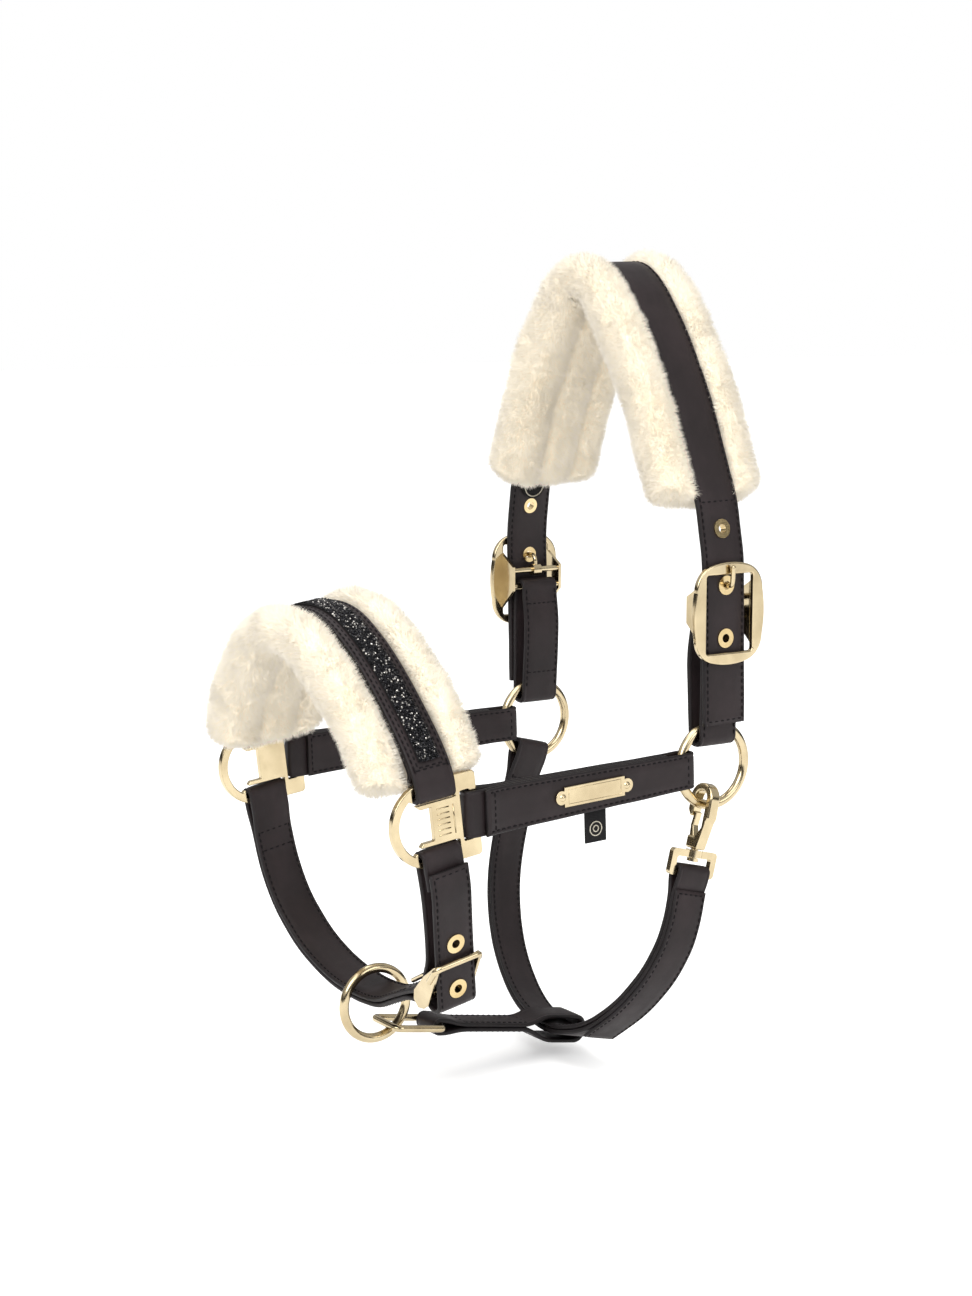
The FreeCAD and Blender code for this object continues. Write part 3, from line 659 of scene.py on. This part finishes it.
LABEL = weave("label_weave", (0.002, 0.002, 0.0025), (0.007, 0.0065, 0.007))
THREAD = twisted_thread()

CAD_MATERIALS = {
    "gold_hardware": GOLD, "brass_eyelet": BRASS, "strap_leather": STRAP, "strap_lining": LINING,
    "label_weave": LABEL, "crystal_stones": STONES, "fur_plush": SKIN,
}


def finish_cad_nodes():
    """Gives every CAD node the detailed material of its slot."""
    for part in frame["record"]["subparts"]:
        data = NODES[part["node"]].data
        data.materials.clear()
        data.materials.append(CAD_MATERIALS[part["material_slot"]])


# ---- straps ----
CROWN_LINE = Route(CROWN, there_and_back(CROWN_HALF), CROWN_RADII)
OUT = 0.05      # a stitch's centre above the leather's face


def run_middle(sheet, start, stop):
    """The middle of one straight run on the near side, and its outward direction."""
    start, stop = sheet.at(*start), sheet.at(*stop)
    outward = sheet.normal.cross((stop - start).normalized())
    return (start + stop) * 0.5, outward if outward.x > 0 else -outward


def crown_eyelet_places():
    """Middle and outward direction of the near side's crown eyelets."""
    heights = (TONGUE_Z + 7.6, TONGUE_Z - 18.2)
    return [run_middle(CROWN, *CROWN_HALF[1:3])] + [(Vector((83.6, SIDE_Y, z)), X_AXIS) for z in heights]


def both_ways(places):
    """The places and their mirror images."""
    flip = Vector((-1, 1, 1))
    return places + [(p * flip, n * flip) for p, n in places]


def crown_straps():
    body = sweep("crown_strap_leather", CROWN_LINE, CROWN_LEATHER, CROWN_WIDTH)
    cut_holes(body, both_ways(crown_eyelet_places()))
    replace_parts(body, "crown_strap")
    backing_in = CROWN_LEATHER / 2 + 0.1 + BACKING_THICK / 2
    backing_line = Route(CROWN, there_and_back([(75.1, -86)] + CROWN_HALF[3:]))
    backing = sweep("crown_backing_leather", backing_line, BACKING_THICK, CROWN_WIDTH + 1.6, shift=backing_in,
                    material=LINING)
    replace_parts(backing, "crown_backing")
    face = -CROWN_LEATHER / 2 - OUT
    end = CROWN_LINE.length
    fur_end = CROWN_LINE.where(*CROWN_HALF[2])
    cross = [STITCH_INSET, fur_end - 1.0, end - fur_end + 1.0, end - STITCH_INSET]
    half = stitch_half(CROWN_WIDTH)
    rows = box_rows(CROWN_LINE, half, face, STITCH_INSET, end - STITCH_INSET, cross)
    for low, high in ((STITCH_INSET, fur_end), (end - fur_end, end - STITCH_INSET)):
        rows += box_rows(CROWN_LINE, half, -face, low, high)
    thread("crown_thread", rows)


def cheek_straps():
    line = Route(BUCKLE, CHEEK_ROUTE, CHEEK_RADII, closed=True)
    body = sweep("near_cheek_leather", line, LEATHER, CHEEK_WIDTH)
    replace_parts(body, "near_cheek_strap")
    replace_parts(mirrored(body, "far_cheek_leather"), "far_cheek_strap")
    start, stop = line.where(4.0, -12), line.where(4.0, -66)
    half = stitch_half(CHEEK_WIDTH)
    face = LEATHER / 2 + OUT
    rows = box_rows(line, half, face, start, stop, [line.where(4.0, -33), line.where(4.0, -52)])
    inner = Route(BUCKLE, CHEEK_ROUTE[2:])
    rows += box_rows(inner, half, face, 8, inner.length - 4, [16, inner.length - 12])
    near = thread("near_cheek_thread", rows)
    mirrored(near, "far_cheek_thread")


def nose_straps():
    middle = there_and_back(NOSE_HALF)
    far_fold = [(-s, t) for s, t in reversed(NOSE_FOLD)]
    loop = doubled_route(NOSE, middle, NOSE_FOLD, far_fold)
    body = sweep("noseband_leather", loop, LEATHER, NOSE_WIDTH)
    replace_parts(body, "noseband_strap")
    line = Route(NOSE, middle)
    face = -(LEATHER + LAYER_GAP / 2) - OUT
    half = stitch_half(NOSE_WIDTH)
    band_end = line.where(*BAND_END)
    row_end = band_end - 6
    ends = (row_end, line.length - row_end)
    rows = box_rows(line, half, face, *ends, ends)
    ends = (band_end - 1.5, line.length - band_end + 1.5)
    rows += box_rows(line, CRYSTAL_WIDTH / 2 + 1.3, face, *ends, ends)
    thread("noseband_thread", rows)
    crystals(line, band_end)


STONE_PITCH, STONES_ACROSS, STONE_SPACING = 0.88, 12, 0.87
STONE_JITTER = 0.18
STONE_TILT = 0.32
STONE_SIZE = (0.38, 0.64)
BAND_MARGIN = 0.9


def stone_shape():
    """A faceted stone: an eight-sided table, crown and girdle of unit radius, and a flat back."""
    table = [(0.5 * c, 0.5 * s, 0.55) for c, s in (turned(45 * k + 22.5) for k in range(8))]
    girdle = [(c, s, 0.0) for c, s in (turned(45 * k) for k in range(8))]
    back = [(0.55 * x, 0.55 * y, -0.45) for x, y, _ in girdle]
    faces = [tuple(range(8)), tuple(range(23, 15, -1))]
    for k in range(8):
        after = (k + 1) % 8
        faces.append((k, 8 + k, 8 + after))
        faces.append((k, 8 + after, after))
        faces.append((8 + k, 16 + k, 16 + after, 8 + after))
    return table + girdle + back, faces


def crystals(line, start):
    """The crystal band: a dark bed and closely packed stones of uneven size, tilt and tone."""
    rng = random.Random(11)
    stop = line.length - start
    face = -(LEATHER + LAYER_GAP / 2)
    bed = sweep("crystal_bed", Route(NOSE, there_and_back([BAND_END] + NOSE_HALF[1:])), 1.0, CRYSTAL_WIDTH,
                shift=face - 0.6, groove=False, wobble=0.0, material=LABEL, edge=LABEL)
    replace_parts(bed, "crystal_band")
    shape, links = stone_shape()
    verts, faces, tones = [], [], []
    spot, odd = start + BAND_MARGIN, False
    while spot < stop - BAND_MARGIN:
        for k in range(STONES_ACROSS):
            column = k - (STONES_ACROSS - 1) / 2 + (0.25 if odd else -0.25)
            w = column * STONE_SPACING + rng.uniform(-STONE_JITTER, STONE_JITTER)
            here = spot + rng.uniform(-STONE_JITTER, STONE_JITTER)
            along, side, left = line.axes(here)
            tilt = Matrix.Rotation(rng.gauss(0, STONE_TILT), 3, along)
            tilt = tilt @ Matrix.Rotation(rng.gauss(0, STONE_TILT), 3, side)
            size = rng.uniform(*STONE_SIZE)
            centre = line.at(here, w, face - 1.15 - rng.uniform(0, 0.35))
            spin = rng.uniform(0, math.tau)
            c, s = math.cos(spin), math.sin(spin)
            first = len(verts)
            for x, y, z in shape:
                local = along * (x * c - y * s) + side * (x * s + y * c) - left * z
                verts.append(centre + tilt @ local * size)
            faces += [tuple(first + i for i in f) for f in links]
            tones += [rng.random()] * len(shape)
        spot += STONE_PITCH
        odd = not odd
    piece = mesh_piece("crystal_stones", verts, faces, STONES, smooth=False, slot="crystal_stones")
    piece.data.attributes.new("tone", "FLOAT", "POINT").data.foreach_set("value", tones)


def side_width(s):
    """Width of a side strap at a distance from the plate."""
    share = min(1.0, max(0.0, (s - 10) / (SIDE_LENGTH - 35)))
    return SIDE_WIDTH_PLATE + (SIDE_WIDTH_RING - SIDE_WIDTH_PLATE) * share


def side_run(s, out=0.0):
    """A point of the side strap, out from its middle line, s from the plate."""
    return s, PLATE_X - SIDE_TOE * s + out


def side_straps():
    tail = SIDE_LENGTH - 30
    half = (LEATHER + LAYER_GAP) / 2
    tail_mid = side_run(tail)[1]
    core = [(0, PLATE_X + 3.3), (9, PLATE_X + 3.3), side_run(15, half), side_run(tail, half),
            side_run(tail, -half), side_run(15, -half), (9, PLATE_X - 3.3), (0, PLATE_X - 3.3)]
    fold = SIDE_LENGTH - 14.1
    sleeve = [(8, PLATE_X + 5.9), side_run(18, 3.9), (tail + 2, tail_mid + 3.7), (fold, CHEEK_X + 3.7),
              (fold, CHEEK_X - 3.7), (tail + 7, CHEEK_X - 3.7), (tail + 1, tail_mid - 3.8),
              side_run(18, -3.9), (8, PLATE_X - 5.9)]
    core_line = Route(SIDE, core, {0: 2.1, 7: 2.1, 3: 1.295, 4: 1.295}, closed=True)
    core_body = sweep("near_side_core", core_line, LEATHER, side_width)
    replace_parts(core_body, "near_side_strap")
    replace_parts(mirrored(core_body, "far_side_core"), "far_side_strap")
    line = Route(SIDE, sleeve, {3: 2.8, 4: 2.8})
    body = sweep("near_side_leather", line, SLEEVE_THICK, side_width)
    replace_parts(body, "near_side_sleeve")
    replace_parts(mirrored(body, "far_side_leather"), "far_side_sleeve")
    face = SLEEVE_THICK / 2 + OUT
    rows = []
    stop = line.where(*sleeve[3]) - 4
    for ends in ((2.0, stop), (line.length - stop, line.length - 2.0)):
        for side in (-1, 1):
            rows += row_along(line, lambda s: side * stitch_half(side_width(s)), face, *ends)
    for spot in (5.2, stop, line.length - stop, line.length - 2.0):
        rows += row_across(line, spot, stitch_half(side_width(line.flat(spot)[0][0])), face)
    near = thread("near_side_thread", rows)
    mirrored(near, "far_side_thread")


def chin_straps():
    reach = BAR_R + 0.25 + LEATHER / 2
    turns = ((-0.6, 1), (1, 1), (1, -1), (-0.6, -1))
    bar_fold = [(STRAP_BAR[0] + s * reach, STRAP_BAR[1] + t * reach) for s, t in turns]
    loop = doubled_route(CHIN, CHIN_STRAP_MID, CHIN_PLATE_FOLD, bar_fold)
    body = sweep("chin_strap_leather", loop, LEATHER, CHIN_WIDTH)
    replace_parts(body, "chin_strap")
    middle = Route(CHIN, CHIN_STRAP_MID)
    half = stitch_half(CHIN_WIDTH)
    face = LEATHER + LAYER_GAP / 2 + OUT
    rows = both_faces(middle, half, face, 1, middle.length - 2, [2, 12, middle.length - 6])
    line = Route(CHIN, BILLET, BILLET_RADII)
    billet = sweep("chin_billet_leather", line, LEATHER, CHIN_WIDTH)
    cut_holes(billet, chin_eyelet_places())
    cut_holes(billet, [(CHIN.at(*BILLET_SLOT), CHIN.s_axis)], BILLET_SLOT_R)
    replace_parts(billet, "chin_billet")
    face = LEATHER / 2 + OUT
    stop = line.length - STITCH_INSET
    rows += box_rows(line, half, face, line.where(75.6, 72), stop, [stop])
    thread("chin_thread", rows)


def chin_eyelet_places():
    return [run_middle(CHIN, *BILLET[k:k + 2]) for k in (8, 9)]


def jaw_strap():
    bottom = THROAT.at(0, 152.0) - JAW.origin
    s, t = bottom.dot(JAW.s_axis), bottom.dot(JAW.t_axis)
    route = [
        (LINK_REAR - 3.3, 3.3), (LINK_REAR + 3, 3.3), (LINK_REAR + 13, 1.2), (s - 21, 1.2), (s - 12, t + 6.4),
        (s + 13, t + 6.4), (s + 13, t - 6.2), (s - 11, t - 6.2), (s - 21, -1.2), (LINK_REAR + 13, -1.2),
        (LINK_REAR + 3, -3.3), (LINK_REAR - 3.3, -3.3),
    ]
    line = Route(JAW, route, {0: 2.6, 11: 2.6, 5: 5.0, 6: 5.0}, closed=True)
    body = sweep("jaw_strap_leather", line, JAW_LEATHER, JAW_WIDTH)
    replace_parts(body, "jaw_strap")
    run = Route(JAW, [(LINK_REAR + 13, 0), (s - 21, 0)])
    half = stitch_half(JAW_WIDTH)
    face = JAW_FACE + OUT
    thread("jaw_thread", both_faces(run, half, face, 1, run.length - 1, [2, run.length - 2]))


def throat_straps():
    loop = doubled_route(THROAT, THROAT_MID, THROAT_RING_FOLD, THROAT_EYE_FOLD)
    body = sweep("throat_strap_leather", loop, LEATHER, THROAT_WIDTH)
    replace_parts(body, "throat_strap")
    line = Route(THROAT, THROAT_MID)
    half = stitch_half(THROAT_WIDTH)
    face = LEATHER + LAYER_GAP / 2 + OUT
    jaw_low, jaw_high = line.where(-8, 152), line.where(8, 152)
    rows = box_rows(line, half, -face, jaw_high, line.length - 1, [line.length - 3])
    rows += both_faces(line, half, face, 1, jaw_low, [3])
    over_line = Route(THROAT, offset_route(THROAT_MID[7:-1] + [(76.8, 63)], LEATHER + LAYER_GAP / 2 + 0.9))
    sweep("throat_overlay_leather", over_line, OVERLAY_THICK, THROAT_WIDTH - 0.4)
    stop = over_line.length - STITCH_INSET
    rows += box_rows(over_line, half, OVERLAY_THICK / 2 + OUT, 1, stop, [stop])
    thread("throat_thread", rows)


# ---- ornaments ----
def raised_lines(name, lines, radius, material, slot):
    """Thin raised lines on a face: each is (points, closed, outward)."""
    verts, faces = [], []
    sides = 8
    for points, closed, outward in lines:
        count = len(points)
        first = len(verts)
        for i, here in enumerate(points):
            before = points[i - 1] if closed or i else here
            after = points[(i + 1) % count] if closed or i < count - 1 else here
            side = outward.cross(after - before).normalized()
            for k in range(sides):
                c, s = turned(360 * k / sides)
                verts.append(here + side * radius * c + outward * radius * s)
        faces += tube_faces(first, sides, count, closed)
    return mesh_piece(name, verts, faces, material, slot=slot)


def circle(sheet, s, t, w, radius):
    return [sheet.at(s + radius * c, t + radius * q, w) for c, q in (turned(12 * k) for k in range(30))]


def plate_ornaments():
    """A plain ladder of raised bars and one upright line on each nose plate, in place of any lettering."""
    lines = [([PLATE.at(11.2, t, 1.6) for t in (1.2, 8.0, 14.8)], False, PLATE.normal)]
    for k in range(6):
        t = 1.8 + 2.5 * k
        lines.append(([PLATE.at(s, t, 1.6) for s in (2.4, 5.6, 8.8)], False, PLATE.normal))
    near = raised_lines("near_plate_ornament", lines, 0.34, GOLD, "gold_hardware")
    mirrored(near, "far_plate_ornament")


def nameplate_border():
    along = (SIDE.s_axis - X_AXIS * SIDE_TOE).normalized()
    outward = SIDE.normal.cross(along)
    outward = outward if outward.x > 0 else -outward
    middle = SIDE.at(*side_run(NAMEPLATE_RUN, 4.85))
    face = Sheet(middle + outward * 1.2, along, outward.cross(along))
    border = [face.at(s, t) for s, t in ((-15.6, -3.5), (0, -3.5), (15.6, -3.5), (15.6, 3.5), (0, 3.5), (-15.6, 3.5))]
    raised_lines("nameplate_border", [(border, True, outward)], 0.22, GOLD, "gold_hardware")


def cloth_marks():
    """A plain ring on the round label and on the woven tag."""
    tilt = Vector((0.98, 0, -0.19)).normalized()
    label = Sheet(CROWN.at(*LABEL_MIDDLE) + tilt * 0.8, (0, 1, 0), tilt.cross(Vector((0, 1, 0))))
    raised_lines("label_ring", [(circle(label, 0, 0, 0, 5.7), True, tilt)], 0.3, MARK, "label_weave")
    tag = Sheet(SIDE.at(*side_run(TAG_RUN)), SIDE.s_axis, SIDE.normal)
    side = math.copysign(1, tag.normal.x)
    lines = [(circle(tag, 0, 19.5, 0.5 * side, radius), True, tag.normal * side) for radius in (3.4, 1.5)]
    raised_lines("tag_rings", lines, 0.26, MARK, "label_weave")


# ---- fur ----
# Half of the pad's outline: across, and outwards from the strap's middle layer, mm.
FUR_OUTLINE = [
    (0.0, -20.6), (4.5, -20.3), (8.0, -19.0), (10.2, -17.3), (12.4, -18.9), (16.5, -20.4), (22.0, -20.2),
    (27.0, -17.0), (30.0, -10.5), (30.2, -3.0), (27.2, 2.6), (22.0, 5.0), (17.0, 4.6), (13.6, 2.2), (12.4, -2.2),
    (9.0, -4.4), (0.0, -4.6),
]
FUR_STEP = 1.7
FUR_END = 9.0
SWELLS = ((55, 1.1), (120, 1.1), (260, 0.65))   # waves per metre and height in mm
PILE_ROOM = 1.2


def smooth_outline(points, count):
    """A closed smooth outline through mirrored half points, evenly divided."""
    whole = points + [(-w, d) for w, d in reversed(points[1:-1])]
    dense = []
    size = len(whole)
    for i in range(size):
        p0, p1, p2, p3 = (np.array(whole[(i + k) % size]) for k in (-1, 0, 1, 2))
        for u in np.linspace(0, 1, 12, endpoint=False):
            dense.append(0.5 * (2 * p1 + (p2 - p0) * u + (2 * p0 - 5 * p1 + 4 * p2 - p3) * u * u
                                + (3 * p1 - p0 - 3 * p2 + p3) * u ** 3))
    dense = np.array(dense + dense[:1])
    gaps = np.concatenate([[0], np.cumsum(np.linalg.norm(np.diff(dense, axis=0), axis=1))])
    spots = np.linspace(0, gaps[-1], count, endpoint=False)
    return np.stack([np.interp(spots, gaps, dense[:, k]) for k in (0, 1)], 1)


def fur_shell(name, route, seed):
    """The pad under the pile: three lengthwise lobes with creases between them and round ends."""
    outline = smooth_outline(FUR_OUTLINE, 96)
    middle = np.array((0.0, -9.0))
    count = int(route.length / FUR_STEP)
    verts = []
    for i in range(count + 1):
        spot = route.length * i / count
        edge = min(spot, route.length - spot)
        size = math.sqrt(max(0.0, 1 - (1 - min(1.0, edge / FUR_END)) ** 2)) if edge < FUR_END else 1.0
        size = 0.25 + 0.75 * size
        bend = math.exp(-((spot - route.length / 2) / 30) ** 2)
        sway = 1.6 * noise.noise(Vector((spot * 0.045, seed, 0))) + 0.7 * noise.noise(Vector((spot * 0.13, seed, 5)))
        for w, d in middle + (outline - middle) * size:
            inner = min(1.0, max(0.0, (-d - 9) / 9))
            fade = max(0.0, 1 - abs(w) / 26)
            ragged = max(0.0, 1 - edge / FUR_END) * (1.2 + 2.2 * noise.noise(Vector((w * 0.12, d * 0.12, seed))))
            ragged = ragged if spot < route.length / 2 else -ragged
            verts.append(route.at(spot + ragged, w + sway * inner * fade * 1.8, -d * (1 - 0.24 * bend * inner)))
    faces = tube_faces(0, len(outline), count + 1, False)
    piece = mesh_piece(name, verts, faces, SKIN, slot="fur_plush")
    shift = Vector((seed, seed * 0.7, -seed))
    for vertex in piece.data.vertices:
        at = vertex.co
        swell = sum(height * noise.noise(at * scale + shift) for scale, height in SWELLS)
        vertex.co = at + vertex.normal * (swell - PILE_ROOM) * MM
    piece.data.update()
    return piece


def waves(points, rng, scale, terms=7):
    """A smooth random vector field at the points, by a sum of sine waves."""
    field = np.zeros_like(points)
    for _ in range(terms):
        k = rng.normal(0, scale, 3)
        field += np.sin(points @ k + rng.uniform(0, math.tau))[:, None] * rng.normal(0, 1, 3)
    return field / math.sqrt(terms)


def rows_of_three(elements, attribute, kind=float):
    values = np.zeros(len(elements) * 3, kind)
    elements.foreach_get(attribute, values)
    return values.reshape(-1, 3)


def surface_samples(piece, count, rng, hidden):
    """Random points and normals on a mesh, spread by area, away from the hidden faces."""
    data = piece.data
    data.calc_loop_triangles()
    corners = rows_of_three(data.vertices, "co")
    normals = rows_of_three(data.vertices, "normal")
    tris = rows_of_three(data.loop_triangles, "vertices", np.int32)
    a, b, c = (corners[tris[:, k]] for k in range(3))
    area = np.linalg.norm(np.cross(b - a, c - a), axis=1)
    area[hidden((a + b + c) / 3)] = 0
    pick = rng.choice(len(tris), count, p=area / area.sum())
    u, v = rng.random(count), rng.random(count)
    over = u + v > 1
    u[over], v[over] = 1 - u[over], 1 - v[over]
    share = np.stack([1 - u - v, u, v], 1)
    chosen = tris[pick]
    points = (corners[chosen] * share[:, :, None]).sum(1)
    facing = (normals[chosen] * share[:, :, None]).sum(1)
    return points, facing / np.linalg.norm(facing, axis=1)[:, None]


STRAND_SHAPE = [math.tau * k / 3 for k in range(3)]
PILE_LENGTH = 4.0 * MM
PILE_R = 0.16 * MM
TUFT_SCALE, CURL_SCALE, WARM_SCALE = 150, 420, 70      # waves per metre of the pile's unevenness
TUFT_LEAN, CURL_LEAN, STRAND_LEAN = 0.45, 0.32, 0.22
DROOP = np.array((0.0, 0.0, -0.12))


def pile(name, shell, count, seed, hidden, drift):
    """Short strands standing on the shell, leaning together in tufts; each is a slim closed spike."""
    rng = np.random.default_rng(seed)
    points, facing = surface_samples(shell, count, rng, hidden)
    lean = TUFT_LEAN * waves(points, rng, TUFT_SCALE) + CURL_LEAN * waves(points, rng, CURL_SCALE)
    lean += rng.normal(0, STRAND_LEAN, points.shape)
    lean += DROOP
    direction = facing + 0.55 * lean + drift(points)
    direction /= np.linalg.norm(direction, axis=1)[:, None]
    reach = PILE_LENGTH * rng.uniform(0.75, 1.15, count)[:, None]
    side = np.cross(direction, rng.normal(0, 1, points.shape))
    side /= np.linalg.norm(side, axis=1)[:, None]
    other = np.cross(direction, side)
    foot = points - facing * 0.5 * MM
    verts = np.zeros((count, 4, 3))
    for k, angle in enumerate(STRAND_SHAPE):
        verts[:, k] = foot + PILE_R * (side * math.cos(angle) + other * math.sin(angle))
    verts[:, 3] = foot + direction * reach
    faces = np.array([(0, 1, 3), (1, 2, 3), (2, 0, 3), (0, 2, 1)])
    index = (np.arange(count)[:, None, None] * 4 + faces).reshape(-1)
    data = bpy.data.meshes.new(name)
    data.vertices.add(count * 4)
    data.vertices.foreach_set("co", verts.astype(np.float32).ravel())
    data.loops.add(len(index))
    data.loops.foreach_set("vertex_index", index.astype(np.int32))
    data.polygons.add(count * 4)
    data.polygons.foreach_set("loop_start", np.arange(0, len(index), 3, dtype=np.int32))
    data.update(calc_edges=True)
    data.polygons.foreach_set("use_smooth", np.ones(count * 4, bool))
    warm = np.clip(0.5 + 0.45 * waves(points, rng, WARM_SCALE)[:, 0], 0, 1)
    tips = rng.uniform(0.8, 1.0, count) * (1 - 0.45 * warm)
    heights = np.tile(np.array((0.15, 0.15, 0.15, 1.0)), count) * np.repeat(tips, 4)
    data.attributes.new("height", "FLOAT", "POINT").data.foreach_set("value", heights.astype(np.float32))
    shading = np.repeat(0.8 * facing + 0.35 * direction + rng.normal(0, 0.10, points.shape), 4, axis=0)
    shading /= np.linalg.norm(shading, axis=1)[:, None]
    data.normals_split_custom_set_from_vertices(shading.astype(np.float32).tolist())
    data.materials.append(PILE)
    piece = add_object(name, data)
    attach(piece, "harness")
    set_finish(piece, "fur_plush")
    return piece


def fur_pad(name, node, route, pieces, strands, seed):
    """A fur pad: its shell, and its pile in several pieces."""
    shell = fur_shell(name, route, seed)
    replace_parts(shell, node)
    samples = route.points
    inside = Vector(route.sheet.origin)
    cross = np.array(route.sheet.normal)

    def on_pad(places):
        """How far points are across the strap and outwards from its middle layer, mm."""
        local = places / MM - np.array(inside)
        flat = np.stack([local @ np.array(route.sheet.s_axis), local @ np.array(route.sheet.t_axis)], 1)
        out = np.zeros(len(flat))
        for start in range(0, len(flat), 4000):
            part = flat[start:start + 4000]
            gap = part[:, None, :] - samples[None, :, :]
            near = np.argmin((gap ** 2).sum(2), 1)
            out[start:start + 4000] = -(gap[np.arange(len(part)), near] * route.normals[near]).sum(1)
        return local @ cross, out

    def under_strap(places):
        """The part of the shell that the strap covers."""
        across, out = on_pad(places)
        return (out > -6.5) & (np.abs(across) < 11.5)

    def over_edge(places):
        """Leans the pile beside the strap over the strap's edge."""
        across, out = on_pad(places)
        share = np.clip((19 - np.abs(across)) / 6, 0, 1) * (out > -4)
        return -0.75 * (share * np.sign(across))[:, None] * cross

    for k in range(pieces):
        pile(f"{name}_pile_{k + 1}", shell, strands, seed + k, under_strap, over_edge)


def fur_pads():
    strands = 48000
    far_half = [(-s, t) for s, t in reversed(CROWN_HALF[3:])] + [(-77.2, -90.8)]
    fur_pad("crown_fur", "crown_fur_pad", Route(CROWN, CROWN_HALF[2:] + far_half), 3, strands, 21)
    fur_pad("nose_fur", "nose_fur_pad", Route(NOSE, there_and_back(NOSE_PAD_HALF)), 2, strands, 51)


# ---- studio ----
FLOOR_Z = -0.3805 - 0.006       # just under the lowest strap, m
FLOOR_SIZE = 12.0


def camera():
    data = bpy.data.cameras.new("camera")
    data.lens = 64.53
    data.sensor_width = 36.0
    data.clip_start = 0.05
    data.dof.use_dof = False
    piece = add_object("camera", data)
    piece.location = (0.9490, -0.7061, -0.0012)
    piece.rotation_euler = (math.radians(81.593), 0.0, math.radians(56.538))
    bpy.context.scene.camera = piece


def floor():
    shader = Shader("floor", (0.93, 0.93, 0.93), 0.9, Specular_IOR_Level=0.1)
    shader.color(shader.ramp(shader.noise(3.0, 2.0), [(0.3, 0.925), (0.7, 0.935)]))
    shader.set("Emission Color", (1.0, 1.0, 1.0, 1.0))
    shader.set("Emission Strength", 0.3)
    data = bpy.data.meshes.new("floor")
    corners = [(x * FLOOR_SIZE, y * FLOOR_SIZE, FLOOR_Z) for x, y in ((-1, -1), (1, -1), (1, 1), (-1, 1))]
    data.from_pydata(corners, [], [(0, 1, 2, 3)])
    data.materials.append(shader.material)
    add_object("floor", data)


SKY_STOPS = [(0.0, 0.8), (0.50, 0.65), (0.51, 0.03), (0.575, 0.03), (0.64, 0.85), (1.0, 1.1)]
SKY_STRENGTH = 0.72
WORLD_NODES = ("OutputWorld", "MixShader", "Background", "Background", "ValToRGB", "TexCoord", "SeparateXYZ",
               "MapRange", "LightPath")


def world():
    """White to the eye; a bright dome with a dim band near the horizon lights the object."""
    sky = bpy.data.worlds.new("studio")
    bpy.context.scene.world = sky
    sky.use_nodes = True
    tree = sky.node_tree
    tree.nodes.clear()
    made = [tree.nodes.new("ShaderNode" + kind) for kind in WORLD_NODES]
    out, mix, seen, light, ramp, coords, split, scale, path = made
    seen.inputs["Color"].default_value = (1.0, 1.0, 1.0, 1.0)
    light.inputs["Strength"].default_value = SKY_STRENGTH
    scale.inputs["From Min"].default_value = -1.0
    fill_ramp(ramp, SKY_STOPS)
    for source, target in (
        (coords.outputs["Generated"], split.inputs["Vector"]),
        (split.outputs["Z"], scale.inputs["Value"]),
        (scale.outputs["Result"], ramp.inputs["Fac"]),
        (ramp.outputs["Color"], light.inputs["Color"]),
        (path.outputs["Is Camera Ray"], mix.inputs["Fac"]),
        (light.outputs["Background"], mix.inputs[1]),
        (seen.outputs["Background"], mix.inputs[2]),
        (mix.outputs["Shader"], out.inputs["Surface"]),
    ):
        tree.links.new(source, target)


def lamp(name, kind, place, target, power, **settings):
    data = bpy.data.lights.new(name, kind)
    data.energy = power
    for key, value in settings.items():
        setattr(data, key, value)
    piece = add_object(name, data)
    piece.location = place
    piece.rotation_euler = (Vector(target) - Vector(place)).to_track_quat("-Z", "Y").to_euler()


def studio():
    camera()
    floor()
    world()
    middle = (0, -0.08, -0.18)
    lamp("key", "AREA", (0.9, -1.6, 0.9), middle, 15, size=1.1)
    lamp("fill", "AREA", (1.7, 0.5, 0.5), middle, 7, size=1.0)
    lamp("top", "AREA", (-0.5, -0.2, 1.4), middle, 10, size=1.2)
    lamp("sun", "SUN", (0.6, -0.7, 1.2), (0, 0, 0), 1.5, angle=math.radians(60))
    bpy.context.scene.view_settings.view_transform = "Standard"
    bpy.context.scene.view_settings.look = "None"


def main():
    studio()
    finish_cad_nodes()
    crown_straps()
    cheek_straps()
    nose_straps()
    side_straps()
    chin_straps()
    jaw_strap()
    throat_straps()
    plate_ornaments()
    nameplate_border()
    cloth_marks()
    fur_pads()


main()
